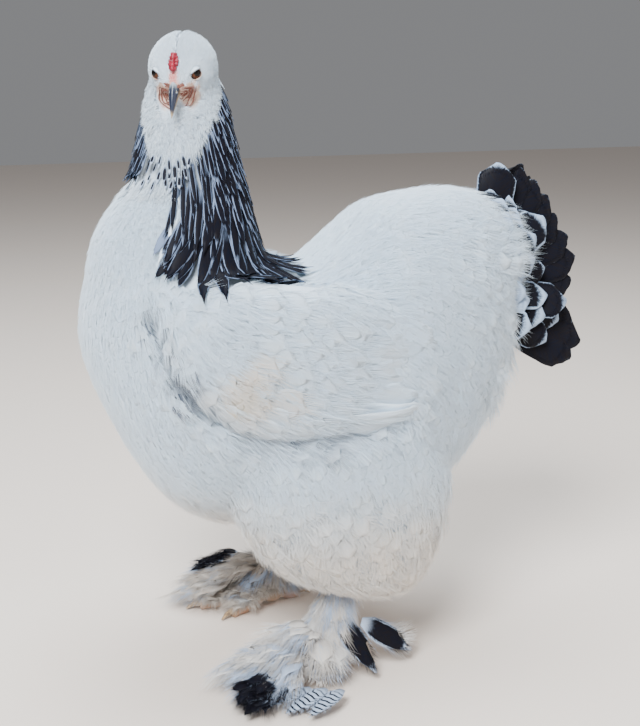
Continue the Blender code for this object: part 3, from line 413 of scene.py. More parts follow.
materials = {
    "body": featherMaterial("white_plumage", whitePlumage, 26.0, 0.30),
    "small": featherMaterial("small_white_plumage", smallPlumage, 12.0, 0.25),
    "hackle": featherMaterial("laced_hackle", hacklePlumage, 30.0, 0.30),
    "tail": featherMaterial("black_tail_plumage", tailPlumage, 60.0, 0.45),
    "foot": featherMaterial("foot_plumage", footPlumage, 34.0, 0.40),
    "skin": skinMaterial(),
    "comb": grainMaterial("comb_skin_red", fleshSkin, combTone),
    "wattle": grainMaterial("wattle_skin", fleshSkin, wattleTone),
    "beak": hornMaterial(),
    "eye": eyeMaterial(),
    "scute": grainMaterial("toe_scale", scaleSkin, scuteTone),
    "claw": clawMaterial(),
}
print("materials made")


# Meshes
def meshPiece(name, bm, material=None):
    mesh = bpy.data.meshes.new(name)
    bm.to_mesh(mesh)
    bm.free()
    made = bpy.data.objects.new(name, mesh)
    bpy.context.scene.collection.objects.link(made)
    if material:
        mesh.materials.append(material)
    mesh.shade_smooth()
    return made


def markMesh(mesh, values):
    # four numbers for each point, which the materials read
    layer = mesh.attributes.new("mark", "FLOAT_COLOR", "POINT")
    layer.data.foreach_set("color", np.array(values, dtype=np.float32).ravel())


def reskin(piece, material):
    # the piece in one material, with smooth shading
    piece.data.materials.clear()
    piece.data.materials.append(material)
    piece.data.shade_smooth()


def applied(piece):
    # makes the modifiers of a piece real
    graph = bpy.context.evaluated_depsgraph_get()
    mesh = bpy.data.meshes.new_from_object(piece.evaluated_get(graph))
    piece.modifiers.clear()
    old = piece.data
    piece.data = mesh
    bpy.data.meshes.remove(old)
    return piece


def melt(piece, voxel, passes):
    # joins all shells of a piece into one skin and softens it
    step = piece.modifiers.new("one skin", "REMESH")
    step.mode = "VOXEL"
    step.voxel_size = voxel
    step.use_smooth_shade = True
    soft = piece.modifiers.new("soft", "SMOOTH")
    soft.factor = 0.5
    soft.iterations = passes
    return applied(piece)


def settle(piece):
    piece.data.transform(Matrix.Translation(shift))
    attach(piece, "root")
    return piece


def addLoft(bm, rings):
    loops = []
    for ring in rings:
        made = bmesh.ops.create_circle(bm, cap_ends=False, radius=1.0, segments=len(ring))["verts"]
        for vert, place in zip(made, ring):
            vert.co = place
        loops.append(list({edge for vert in made for edge in vert.link_edges}))
    for a, b in zip(loops, loops[1:]):
        bmesh.ops.bridge_loops(bm, edges=a + b)
    for loop in (loops[0], loops[-1]):
        bmesh.ops.edgeloop_fill(bm, edges=loop)


def signedPower(value, exponent):
    return math.copysign(abs(value) ** exponent, value)


def torsoRounding(x):
    shape = torsoShape
    front = max(0.0, (shape["front"] + shape["breastRounding"] - x) / shape["breastRounding"])
    rear = max(0.0, (x - shape["rear"] + shape["rumpRounding"]) / shape["rumpRounding"])
    breast = max(0.0, 1 - front ** shape["breastFullness"]) ** (1 / shape["breastFullness"])
    rump = max(0.0, 1 - rear ** shape["rumpFullness"]) ** (1 / shape["rumpFullness"])
    return min(breast, rump)


def torsoRings(count, around):
    top, bottom, width, middle = torsoCurves
    rings = []
    for i in range(1, count):
        x = mix(torsoShape["front"], torsoShape["rear"], (1 - math.cos(math.pi * i / count)) / 2)
        share, ring = torsoRounding(x), []
        for k in range(around):
            angle = 2 * math.pi * k / around
            across = signedPower(math.cos(angle), 2 / torsoShape["square"])
            upward = signedPower(math.sin(angle), 2 / torsoShape["square"])
            reach = (top(x) if upward > 0 else bottom(x)) - middle(x)
            ring.append(Vector((x, across * width(x) * share, middle(x) + abs(upward) * reach * share)))
        rings.append(ring)
    return rings


def neckPoint(z, bearing):
    # bearing 0 is towards +X and 90 towards +Y
    middleX, depth, width, middleY = (curve(z) for curve in neckCurves)
    angle = math.radians(bearing)
    return Vector((middleX + depth * math.cos(angle), middleY + width * math.sin(angle), z))


def headRings(count, around):
    width, top, bottom = headCurves
    rings = []
    for i in range(1, count):
        angle = math.pi * i / count
        forward = mix(headShape["back"], headShape["front"], (1 - math.cos(angle)) / 2)
        share, ring = math.sin(angle) ** 0.62, []
        for k in range(around):
            turn = 2 * math.pi * k / around
            reach = top(forward) if math.sin(turn) > 0 else bottom(forward)
            local = Vector((forward, math.cos(turn) * width(forward) * share, math.sin(turn) * reach * share))
            ring.append(headMatrix @ local)
        rings.append(ring)
    return rings


def thighRings(side, count, around):
    middleX, depth, middleY, width = thighCurves
    low, high = thighShape["stations"][0][0], thighShape["stations"][-1][0]
    rings = []
    for i in range(1, count + 1):
        z = mix(low, high, 1 - math.cos(math.pi * i / (2 * count)))
        share, ring = min(1.0, 1 - (1 - i / count) ** 5) ** 0.5, []
        for k in range(around):
            angle = 2 * math.pi * k / around
            x = middleX(z) + depth(z) * share * math.cos(angle)
            ring.append(Vector((x, side * (middleY(z) + width(z) * share * math.sin(angle)), z)))
        rings.append(ring)
    return rings


def addWingCore(bm, side):
    made = bmesh.ops.create_uvsphere(bm, u_segments=40, v_segments=24, radius=1.0)["verts"]
    bmesh.ops.rotate(bm, matrix=Matrix.Rotation(math.pi / 2, 3, "X"), verts=made)
    full = wingShape["fullness"]
    for vert in made:
        powers = abs(vert.co.x) ** full + abs(vert.co.z) ** full
        if powers > 1e-9:
            fuller = math.hypot(vert.co.x, vert.co.z) / powers ** (1 / full)
            vert.co = Vector((vert.co.x * fuller, vert.co.y, vert.co.z * fuller))
    bmesh.ops.transform(bm, matrix=wingMatrix[side] @ Matrix.Diagonal((*wingShape["half"], 1.0)), verts=made)


def addBall(bm, place, half, around, turn=None):
    matrix = Matrix.Translation(place) @ (turn or Matrix.Identity(4)) @ Matrix.Diagonal((*half, 1.0))
    bmesh.ops.create_uvsphere(bm, u_segments=around, v_segments=around * 2 // 3, radius=1.0, matrix=matrix)


def addTube(bm, places, radii, around):
    rings = []
    for i, (place, radius) in enumerate(zip(places, radii)):
        along = places[min(i + 1, len(places) - 1)] - places[max(i - 1, 0)]
        turn = along.to_track_quat("Z", "Y").to_matrix()
        ring = []
        for k in range(around):
            angle = 2 * math.pi * k / around
            ring.append(place + turn @ Vector((math.cos(angle) * radius, math.sin(angle) * radius, 0)))
        rings.append(ring)
    addLoft(bm, rings)


class Ground:
    # the surface that feathers lie on
    def __init__(self, mesh):
        verts = [v.co.copy() for v in mesh.vertices]
        self.tree = BVHTree.FromPolygons(verts, [tuple(p.vertices) for p in mesh.polygons])

    def over(self, point, height):
        place, normal, _, distance = self.tree.find_nearest(point)
        outward = point - place
        if outward.dot(normal) > 0 and distance > 1e-5:
            normal = outward.normalized()
        return place + normal * height, normal


# The form of the coat and the skin under it
skinLook = {"voxel": 0.0030, "passes": 10, "bodyDepth": 0.0070, "headDepth": 0.0012, "eyeDepth": 0.0036}
crease = {  # the fold under the wing and before it
    "depth": 0.0105, "width": 0.0088, "far": 0.03,
    "line": [Vector(spot) for spot in (
        (-0.177, -0.094, 0.371), (-0.171, -0.107, 0.346), (-0.163, -0.115, 0.324), (-0.148, -0.120, 0.305),
        (-0.126, -0.124, 0.285), (-0.103, -0.126, 0.269), (-0.074, -0.128, 0.260), (-0.046, -0.131, 0.258),
        (-0.008, -0.136, 0.261), (0.033, -0.137, 0.265), (0.066, -0.132, 0.270))],
}


browLook = {"front": Vector((0.0080, -0.0062, 0.0020)), "back": Vector((-0.0100, 0.0016, 0.0066)),
            "height": 0.0026, "width": 0.0034, "hollow": 0.0012, "hollowWidth": 0.0050}


def faceRelief(place):
    # the brow stands out over a hollow in which the eye lies
    look, local = browLook, headInverse @ place
    mirrored = Vector((local.x, abs(local.y), local.z))
    start, end = eyeShape["place"] + look["front"], eyeShape["place"] + look["back"]
    t = min(max((mirrored - start).dot(end - start) / (end - start).length_squared, 0.0), 1.0)
    gap = (mirrored - mix(start, end, t)).length
    hollow = (mirrored - eyeShape["place"]).length
    return (look["height"] * math.exp(-(gap / look["width"]) ** 2)
            - look["hollow"] * math.exp(-(hollow / look["hollowWidth"]) ** 2))


def creaseGap(place):
    # how far a place is from the fold under the wing and before it, on either side
    spot = Vector((place.x, -abs(place.y), place.z))
    if not (0.235 < spot.z < 0.400 and spot.y < -0.060 and spot.x < 0.090):
        return 1.0
    gaps = []
    for a, b in zip(crease["line"], crease["line"][1:]):
        t = min(max((spot - a).dot(b - a) / (b - a).length_squared, 0.0), 1.0)
        gaps.append((spot - mix(a, b, t)).length)
    return min(gaps)


def buildCoatForm():
    bm = bmesh.new()
    addLoft(bm, torsoRings(40, 56))
    low, high = neckShape["stations"][0][0], neckShape["stations"][-1][0]
    addLoft(bm, [[neckPoint(mix(low, high, i / 24), 360 * k / 48) for k in range(48)] for i in range(25)])
    addLoft(bm, headRings(24, 48))
    addBall(bm, tailShape["middle"], tailShape["half"], 32)
    for side in (-1, 1):
        addWingCore(bm, side)
        addLoft(bm, thighRings(side, 16, 40))
    bmesh.ops.recalc_face_normals(bm, faces=bm.faces[:])
    form = melt(meshPiece("coat_form", bm), skinLook["voxel"], skinLook["passes"])
    inward = [(v, v.normal.copy(), creaseGap(v.co)) for v in form.data.vertices]
    for vert, normal, gap in inward:
        if gap < crease["far"]:
            vert.co = vert.co - normal * crease["depth"] * math.exp(-(gap / crease["width"]) ** 2)
        if vert.co.z > 0.575:
            vert.co = vert.co + normal * faceRelief(vert.co)
    return form


def headness(place):
    # 1 on the head, 0 below the ruff
    return ease((place.z - 0.560) / 0.030)


bareLook = {
    "beakRoot": Vector((0.0400, 0.0, 0.0000)), "near": 0.0090, "blaze": 0.0036,
    "cheekOut": 0.0120, "cheekDown": 0.0090, "cheekWide": 0.0090, "cheekHigh": 0.0130,
}


def bareness(local):
    # bare skin round the beak and between the comb and the eyes, in the head's own frame
    look, aside = bareLook, abs(local.y)
    near = 1 - ease(((local - look["beakRoot"]).length - look["near"]) / 0.0040)
    wide = (aside - look["cheekOut"]) / look["cheekWide"]
    oval = math.hypot(wide, (local.z + look["cheekDown"]) / look["cheekHigh"])
    cheek = 1 - ease((oval - 0.90) / 0.40)
    cheek *= ease((local.x - 0.016) / 0.004)
    blaze = 1 - ease((aside - look["blaze"]) / 0.0022)
    blaze = blaze * ease((local.z - 0.002) / 0.004) * ease((local.x - 0.025) / 0.004)
    return max(near, cheek, blaze)


def nape(z):
    # where the back of the neck points, turned with the head
    return mix(8.0, 58.0, ease((z - 0.440) / 0.075))


capeNear = curveThrough([(0.395, 100), (0.408, 122), (0.435, 127), (0.450, 120), (0.470, 124), (0.485, 142),
                         (0.496, 172), (0.506, 178), (0.530, 149), (0.556, 128), (0.585, 92), (0.604, 60)], 1)
capeFar = curveThrough([(0.395, 84), (0.440, 92), (0.470, 98), (0.488, 104), (0.499, 140), (0.508, 178),
                        (0.530, 149), (0.556, 128), (0.585, 92), (0.604, 60)], 1)
capeFloor = curveThrough([(0, 0.398), (50, 0.396), (72, 0.388), (90, 0.392), (108, 0.401), (122, 0.405),
                          (180, 0.410)], 1)
capeTop = 0.612


def fromNape(place):
    # how many degrees round the neck a place is from the middle of the nape, below 0 on the left
    middleX, middleY = neckCurves[0](place.z), neckCurves[3](place.z)
    bearing = math.degrees(math.atan2(place.y - middleY, place.x - middleX))
    return (bearing - nape(place.z) + 180) % 360 - 180


def capeMargin(place):
    # degrees from a place to the border of the black cape, above 0 inside it; the head's turn draws it aside
    away = fromNape(place)
    return (capeNear if away < 0 else capeFar)(place.z) - abs(away)


def inCape(place, slack):
    # slack lets a feather end lower or makes it end sooner
    low = capeFloor(abs(fromNape(place))) - slack
    return place.x < 0.008 and low < place.z < capeTop and capeMargin(place) > -slack * 250


def blackness(place):
    # how black the middles of the neck feathers are: 1 on the nape, 0 on the throat, breast and crown
    if place.z < 0.415 or place.z > capeTop or place.x > -0.010:
        return 0.0
    return ease(capeMargin(place) / 30 + 0.35) * ease((capeTop - place.z) / 0.020)


def markSkin(mesh):
    marks = []
    for vert in mesh.vertices:
        underCape = blackness(vert.co) * 0.4 * ease((capeMargin(vert.co) - 4) / 14)
        # painted shade: the skin darkens along the fold under the wing
        dark = max(underCape, 0.75 * math.exp(-(creaseGap(vert.co) / 0.009) ** 2))
        local = headInverse @ vert.co
        red = (1 - ease((abs(local.y) - 0.0030) / 0.0045)) * ease((local.z - 0.002) / 0.010)
        marks.append((red, dark, bareness(local), 1.0))
    markMesh(mesh, marks)


def buildSkin(coatForm):
    # the coat's form drawn in by the depth of the coat, with hollows for the eyes
    skin = bpy.data.objects.new("hen_skin", coatForm.data.copy())
    bpy.context.scene.collection.objects.link(skin)
    bm = bmesh.new()
    bm.from_mesh(skin.data)
    bm.normal_update()
    eyes = [headMatrix @ place for place in eyePlaces.values()]
    for vert, normal in [(v, v.normal.copy()) for v in bm.verts]:
        depth = mix(skinLook["bodyDepth"], skinLook["headDepth"], headness(vert.co))
        near = min((vert.co - eye).length for eye in eyes)
        vert.co = vert.co - normal * (depth + skinLook["eyeDepth"] * (1 - ease((near - 0.0035) / 0.0050)))
    bmesh.ops.smooth_vert(
        bm, verts=bm.verts[:], factor=0.3, use_axis_x=True, use_axis_y=True, use_axis_z=True)
    bm.to_mesh(skin.data)
    bm.free()
    markSkin(skin.data)
    reskin(skin, materials["skin"])
    return skin


coatForm = buildCoatForm()
ground = Ground(coatForm.data)
print("coat form has", len(coatForm.data.polygons), "faces")
skin = settle(buildSkin(coatForm))
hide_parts("torso", "rump", "neck", "head", "thigh_left", "thigh_right")
print("skin made")


# Feather patterns: a flat grid given its outline, thickness and ridge, with barbs round its outer part,
# or a tuft of barbs alone
def addBarb(bm, root, tip, radius):
    # a thin three-sided spike
    way = tip - root
    turn = way.to_track_quat("Z", "Y").to_matrix().to_4x4()
    matrix = Matrix.Translation((root + tip) / 2) @ turn @ Matrix.Diagonal((1.0, 0.6, 1.0, 1.0))
    bmesh.ops.create_cone(
        bm, cap_ends=True, segments=3, radius1=radius, radius2=0.0, depth=way.length, matrix=matrix)


def addVane(bm, look, chance):
    # x runs across, y along and z is the height
    length, half, ragged = look["length"], look["width"] / 2, look["ragged"]
    share = curveThrough(look["outline"], 1)
    bmesh.ops.create_grid(bm, x_segments=look["columns"], y_segments=look["rows"], size=1.0)
    flat = bm.verts.layers.float_vector.new("flat")
    for vert in bm.verts:
        across, along = vert.co.x, (vert.co.y + 1) / 2
        vert[flat] = Vector((across, along, 0))
        edge = abs(across) > 0.99 or along > 0.99
        worn = chance.uniform(0, ragged) if edge and along > 0.25 else 0.0
        rounded = along * (1 - look["tipRound"] * abs(across) ** 2.2 * along ** 3) - worn
        vert.co = Vector((across * share(along) * half * (1 - worn), rounded * length * look["vane"], 0))
    bmesh.ops.solidify(bm, geom=bm.faces[:], thickness=look["thick"])
    middle = sum(vert.co.z for vert in bm.verts) / len(bm.verts)
    rims = {f for f in bm.faces if len({v.co.z > middle for v in f.verts}) > 1}
    for vert in bm.verts:
        across, along = vert[flat].x, vert[flat].y
        level = (vert.co.z - middle) * (1 - 0.7 * across * across) * (1 - 0.5 * along)
        shaft = look["ridge"] * max(0.0, 1 - abs(across) * look["columns"] / 2) * (1 - along) ** 0.5
        vert.co.z = level + shaft - look["cup"] * across * across
    for face in bm.faces:
        face.smooth = face not in rims
    return share


def addFringe(bm, look, share, chance):
    # barbs round the outer part of a vane, sweeping towards its tip
    length, half = look["length"], look["width"] / 2
    for k in range(look["barbs"]):
        t = (k + chance.uniform(0.2, 0.8)) / look["barbs"] * 2 - 1
        if abs(t) < 0.4:
            across, along = t / 0.4, 0.97 - look["tipRound"] * abs(t / 0.4) ** 2.2
        else:
            across = math.copysign(1.0, t)
            along = mix(0.97 - look["tipRound"], look["barbFrom"], (abs(t) - 0.4) / 0.6)
        root = Vector((across * share(along) * half * 0.78, along * length * look["vane"] * 0.88,
                       look["thick"] - look["cup"] * 0.67 * across * across))
        tilt = math.radians(look["barbTilt"] * across * mix(0.5, 1.0, 1 - along) + chance.uniform(-9, 9))
        reach = look["barbLength"] * chance.uniform(0.70, 1.30)
        tip = root + Vector((math.sin(tilt), math.cos(tilt), 0)) * reach
        tip.z += chance.uniform(-1, 1) * look["barbLift"]
        addBarb(bm, root, tip, look["barbRadius"])


def addTuft(bm, look, chance):
    # fine barbs that leave one root side by side
    length, half = look["length"], look["width"] / 2
    for k in range(look["barbs"]):
        t = (k + chance.uniform(0.1, 0.9)) / look["barbs"] * 2 - 1
        root = Vector((t * half * 0.45, chance.uniform(0.0, 0.30) * length, 0))
        reach = length * chance.uniform(0.62, 0.78) * (1 - 0.25 * t * t)
        tilt = math.radians(look["barbTilt"] * t + chance.uniform(-7, 7))
        tip = root + Vector((math.sin(tilt), math.cos(tilt), 0)) * reach
        tip.z += chance.uniform(-1, 1) * look["barbLift"]
        addBarb(bm, root, tip, look["barbRadius"])


def featherPattern(look, seed):
    # across and along are shares of the width and length, the height stays in metres
    chance = random.Random(seed)
    length, half = look["length"], look["width"] / 2
    bm = bmesh.new()
    if look["columns"]:
        share = addVane(bm, look, chance)
        flat = bm.verts.layers.float_vector["flat"]
        vane = set(bm.verts)
        addFringe(bm, look, share, chance)
    else:
        flat = bm.verts.layers.float_vector.new("flat")
        vane = set()
        addTuft(bm, look, chance)
    for vert in bm.verts:
        if vert not in vane:
            vert[flat] = Vector((vert.co.x / half, vert.co.y / length, 0))
    bmesh.ops.recalc_face_normals(bm, faces=bm.faces[:])
    bm.verts.index_update()
    places = np.array([v.co[:] for v in bm.verts])
    spots = np.array([v[flat][:2] for v in bm.verts])
    pattern = {
        "across": places[:, 0] / half, "along": np.clip(places[:, 1] / length, 0, 1.3),
        "height": places[:, 2],
        "uv": np.clip(np.stack([spots[:, 0] * 0.5 + 0.5, spots[:, 1]], axis=1), 0, 1),
        "corners": np.array([v.index for f in bm.faces for v in f.verts]),
        "counts": np.array([len(f.verts) for f in bm.faces]),
        "smooth": np.array([f.smooth for f in bm.faces]),
    }
    bm.free()
    return pattern


roundOutline = [(0.0, 0.30), (0.22, 0.78), (0.50, 1.0), (0.78, 0.80), (1.0, 0.30)]
spearOutline = [(0.0, 0.36), (0.20, 0.80), (0.45, 1.0), (0.70, 0.86), (0.88, 0.50), (1.0, 0.10)]
broadOutline = [(0.0, 0.26), (0.20, 0.74), (0.50, 0.98), (0.82, 1.0), (0.94, 0.86), (1.0, 0.62)]
plainFeather = {
    "length": 0.036, "width": 0.027, "columns": 2, "rows": 4, "outline": roundOutline, "tipRound": 0.22,
    "ragged": 0.10, "thick": 0.0002, "ridge": 0.0, "cup": 0.0002, "barbs": 46, "barbFrom": 0.16,
    "barbTilt": 22, "barbLength": 0.0165, "barbRadius": 0.00038, "barbLift": 0.0008, "vane": 0.60,
}
plainTuft = dict(plainFeather, columns=0, barbLift=0.0004)
featherLooks = {
    "body": plainFeather,
    "plume": dict(plainFeather, width=0.024, rows=3, barbs=42, barbTilt=34, barbLength=0.0150,
                  barbRadius=0.00030, barbLift=0.0022, ragged=0.12, vane=0.66),
    "down": dict(plainTuft, length=0.026, width=0.020, barbs=16, barbTilt=24, barbLift=0.0030),
    "throat": dict(plainTuft, length=0.0110, width=0.0056, barbs=8, barbTilt=20, barbRadius=0.00026,
                   barbLift=0.0008),
    "crown": dict(plainTuft, length=0.0075, width=0.0030, barbs=6, barbTilt=10, barbRadius=0.00020,
                  barbLift=0.0002),
    "hackle": dict(plainFeather, length=0.060, width=0.016, columns=4, rows=7, outline=spearOutline,
                   tipRound=0.06, barbs=8, barbFrom=0.3, barbLength=0.0040, barbRadius=0.00026, cup=0.0008,
                   ridge=0.0003, vane=0.97),
    "quill": dict(plainFeather, length=0.100, width=0.034, columns=6, rows=10, outline=broadOutline,
                  tipRound=0.16, ragged=0.03, barbs=52, barbFrom=0.30, barbLength=0.0120, ridge=0.0002,
                  cup=0.0004, vane=0.90),
    "covert": dict(plainFeather, length=0.050, width=0.034, columns=4, rows=6, barbs=52, barbFrom=0.20,
                   barbLength=0.0170, cup=0.0003, vane=0.74),
    "tail": dict(plainFeather, length=0.094, width=0.044, columns=8, rows=12, outline=broadOutline,
                 tipRound=0.10, ragged=0.030, barbs=44, barbFrom=0.45, barbTilt=36, barbLength=0.0050,
                 barbRadius=0.00050, cup=0.0030, ridge=0.0008, thick=0.0007, vane=0.97),
    "foot": dict(plainFeather, length=0.070, width=0.022, rows=5, barbs=52, barbFrom=0.06, barbTilt=30,
                 barbLength=0.0200, barbRadius=0.00036, barbLift=0.0030, vane=0.58),
    "leaf": dict(plainFeather, length=0.070, width=0.022, columns=4, rows=7, barbs=60, barbFrom=0.10,
                 barbTilt=36, barbLength=0.0080, barbRadius=0.00036, barbLift=0.0012, ragged=0.2,
                 ridge=0.0002, vane=0.90),
}
patterns = {
    name: [featherPattern(look, 7 * k + len(name)) for k in range(3)] for name, look in featherLooks.items()}
for name, variants in patterns.items():
    print("pattern", name, "has", int((variants[0]["counts"] - 2).sum()), "triangles")


# Laying feathers and joining them into pieces
pieceLimit = 185000  # triangles in one piece
patchSize = 0.003  # of each feather on the unwrap of the skin
coatFloor = 0.0004  # nothing sinks into the floor


class Coat:
    # gathers feathers of one material and writes them as joined meshes of a fair size each
    def __init__(self, name, material):
        self.name, self.material, self.rows = name, material, []

    def add(self, kind, spine, normals, width, mark, patch, variant, heightScale):
        self.rows.append(((kind, variant % 3, len(spine)), (spine, normals, width, mark, patch, heightScale)))

    def write(self, *replaced):
        total, heavy = 0, []
        for key, _ in self.rows:
            total += int((patterns[key[0]][key[1]]["counts"] - 2).sum())
            heavy.append(total)
        pieces = max(1, math.ceil(total / pieceLimit))
        for number in range(pieces):
            low, high = total * number / pieces, total * (number + 1) / pieces
            rows = [row for row, reached in zip(self.rows, heavy) if low < reached <= high + 0.5]
            name = self.name if pieces == 1 else f"{self.name}_{number + 1}"
            made = self.writePiece(name, rows)
            if replaced:
                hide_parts(*replaced)

    def writePiece(self, name, rows):
        batches = {}
        for key, row in rows:
            batches.setdefault(key, []).append(row)
        parts = [self.spreadBatch(patterns[key[0]][key[1]], batch) for key, batch in batches.items()]
        verts = np.concatenate([p[0] for p in parts])
        verts[:, 2] = np.maximum(verts[:, 2], coatFloor)
        offsets = np.cumsum([0] + [len(p[0]) for p in parts])
        corners = np.concatenate([p[1] + start for p, start in zip(parts, offsets)])
        counts, smooth = np.concatenate([p[2] for p in parts]), np.concatenate([p[3] for p in parts])
        mesh = bpy.data.meshes.new(name)
        mesh.vertices.add(len(verts))
        mesh.vertices.foreach_set("co", (verts + np.array(shift)).astype(np.float32).ravel())
        mesh.loops.add(len(corners))
        mesh.loops.foreach_set("vertex_index", corners.astype(np.int32))
        mesh.polygons.add(len(counts))
        mesh.polygons.foreach_set("loop_start", (np.cumsum(counts) - counts).astype(np.int32))
        mesh.polygons.foreach_set("loop_total", counts.astype(np.int32))
        mesh.polygons.foreach_set("use_smooth", smooth)
        for layerName, column in (("OFBake", 6), ("feather", 4)):
            layer = mesh.uv_layers.new(name=layerName)
            values = np.concatenate([p[column] for p in parts])[corners]
            layer.data.foreach_set("uv", values.astype(np.float32).ravel())
        markMesh(mesh, np.concatenate([p[5] for p in parts]))
        mesh.update(calc_edges=True)
        mesh.materials.append(self.material)
        made = bpy.data.objects.new(name, mesh)
        bpy.context.scene.collection.objects.link(made)
        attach(made, "root")
        print("coat piece", name, "has", len(rows), "feathers,", int((counts - 2).sum()), "triangles")
        return made

    def spreadBatch(self, pattern, rows):
        spines = np.array([row[0] for row in rows])
        normals = np.array([row[1] for row in rows])
        widths = np.array([row[2] for row in rows]) / 2
        marks = np.array([row[3] for row in rows])
        patches = np.array([row[4] for row in rows])
        heights = np.array([row[5] for row in rows])
        steps = spines.shape[1] - 1
        ways = np.gradient(spines, axis=1)
        across = np.cross(ways, normals)
        across /= np.linalg.norm(across, axis=2, keepdims=True) + 1e-12
        upward = np.cross(across, ways)
        upward /= np.linalg.norm(upward, axis=2, keepdims=True) + 1e-12
        span = pattern["along"] * steps
        low = np.clip(np.floor(span).astype(int), 0, steps - 1)
        part = (span - low)[None, :, None]
        bent = np.clip(part, 0, 1)
        spine = spines[:, low] * (1 - part) + spines[:, low + 1] * part
        sideways = across[:, low] * (1 - bent) + across[:, low + 1] * bent
        upwards = upward[:, low] * (1 - bent) + upward[:, low + 1] * bent
        offset = pattern["across"][None, :, None] * widths[:, None, None]
        height = pattern["height"][None, :, None] * heights[:, None, None]
        verts = spine + sideways * offset + upwards * height
        count, size = len(rows), len(pattern["along"])
        corners = (pattern["corners"][None, :] + (np.arange(count) * size)[:, None]).ravel()
        uv = np.tile(pattern["uv"], (count, 1))
        bake = (patches[:, None, :] + (pattern["uv"][None] - 0.5) * patchSize).reshape(-1, 2)
        counts, smooth = np.tile(pattern["counts"], count), np.tile(pattern["smooth"], count)
        return verts.reshape(-1, 3), corners, counts, smooth, uv, np.repeat(marks, size, axis=0), bake


spineLift = 1.6  # above 1 it comes out soon and then runs level


def drape(root, heading, length, sink, rise, steps=4, fall=0.0):
    # a spine that starts under the coat's form, follows it and comes out towards its tip
    place, normal = ground.over(root, 0.0)
    way = heading - normal * heading.dot(normal)
    way.normalize()
    spine, normals, point = [], [], place
    for i in range(steps + 1):
        t = i / steps
        place, normal = ground.over(point, 0.0)
        way = way + Vector((0, 0, -fall / steps))
        way = (way - normal * way.dot(normal)).normalized()
        height = mix(-sink, rise, t ** (1 / spineLift))
        spine.append(place + normal * height)
        normals.append(normal)
        point = place + way * (length / steps)
    return spine, normals


def freeSpine(root, heading, normal, length, steps, curl, low=None, twist=0.0):
    # a spine that stands free and bends by curl degrees about its flat side
    way, normal = heading.normalized(), normal.normalized()
    side = way.cross(normal).normalized()
    normal = side.cross(way).normalized()
    bend = Matrix.Rotation(math.radians(curl / steps), 3, side)
    spine, normals = [root.copy()], [normal.copy()]
    for _ in range(steps):
        point = spine[-1] + way * (length / steps)
        if low is not None and point.z < low:
            point.z = low
        spine.append(point)
        way, normal = bend @ way, bend @ normal
        if twist:
            normal = Matrix.Rotation(math.radians(twist / steps), 3, way) @ normal
        normals.append(normal.copy())
    return spine, normals


def patchAt(across, upward, along, start, reach):
    # where a root lies on an unwrap round a long axis
    turn = math.atan2(across, upward) / (2 * math.pi) + 0.5
    return (0.02 + 0.96 * turn, 0.02 + 0.96 * min(max((along - start) / reach, 0), 1))


def bodyPatch(place):
    return patchAt(place.y, place.z - 0.32, place.x, -0.24, 0.52)


def neckPatch(place):
    return patchAt(place.y, place.x + 0.115, place.z, 0.40, 0.24)


def headPatch(local):
    return patchAt(local.y, local.z, local.x, -0.04, 0.09)


# The lie of the body's coat: a place on one side of the body, and where its feathers point
lieNotes = [
    ((-0.160, 0.02, 0.52), (0.00, 0.00, -1.0)), ((-0.115, 0.05, 0.50), (0.05, 0.05, -1.0)),
    ((-0.060, 0.01, 0.50), (0.35, 0.00, -1.0)), ((-0.205, 0.03, 0.43), (-0.1, 0.10, -1.0)),
    ((-0.220, 0.03, 0.34), (0.20, 0.12, -1.0)), ((-0.180, 0.10, 0.34), (0.50, 0.00, -0.9)),
    ((-0.160, 0.04, 0.22), (0.90, 0.05, -0.5)), ((-0.110, 0.12, 0.40), (0.90, 0.10, -0.4)),
    ((-0.080, 0.11, 0.22), (0.60, 0.00, -0.8)), ((-0.020, 0.04, 0.42), (1.00, 0.10, 0.1)),
    ((0.080, 0.03, 0.47), (1.00, 0.25, 0.1)), ((0.100, 0.11, 0.38), (0.85, 0.00, -0.55)),
    ((0.180, 0.03, 0.48), (1.00, 0.15, 0.0)), ((0.180, 0.08, 0.37), (0.95, 0.05, -0.35)),
    ((0.220, 0.04, 0.28), (0.50, 0.05, -0.9)), ((0.150, 0.08, 0.20), (0.35, 0.05, -1.0)),
    ((0.000, 0.04, 0.14), (0.90, 0.00, -0.2)), ((-0.070, 0.12, 0.17), (0.30, 0.00, -1.0)),
    ((0.020, 0.14, 0.16), (0.30, 0.00, -1.0)), ((0.100, 0.11, 0.13), (0.25, 0.00, -1.0)),
    ((0.080, 0.13, 0.28), (0.70, 0.00, -0.75)),
]
lieSpread = 0.055


def lieAt(place):
    side = -1 if place.y < 0 else 1
    total = Vector()
    for spot, way in lieNotes:
        gap = (place.x - spot[0]) ** 2 + (abs(place.y) - spot[1]) ** 2 + (place.z - spot[2]) ** 2
        weight = math.exp(-gap / (2 * lieSpread * lieSpread))
        total += onSide(Vector(way), side) * weight
    return total.normalized()


scatterTries = 9  # for each root that there is room for


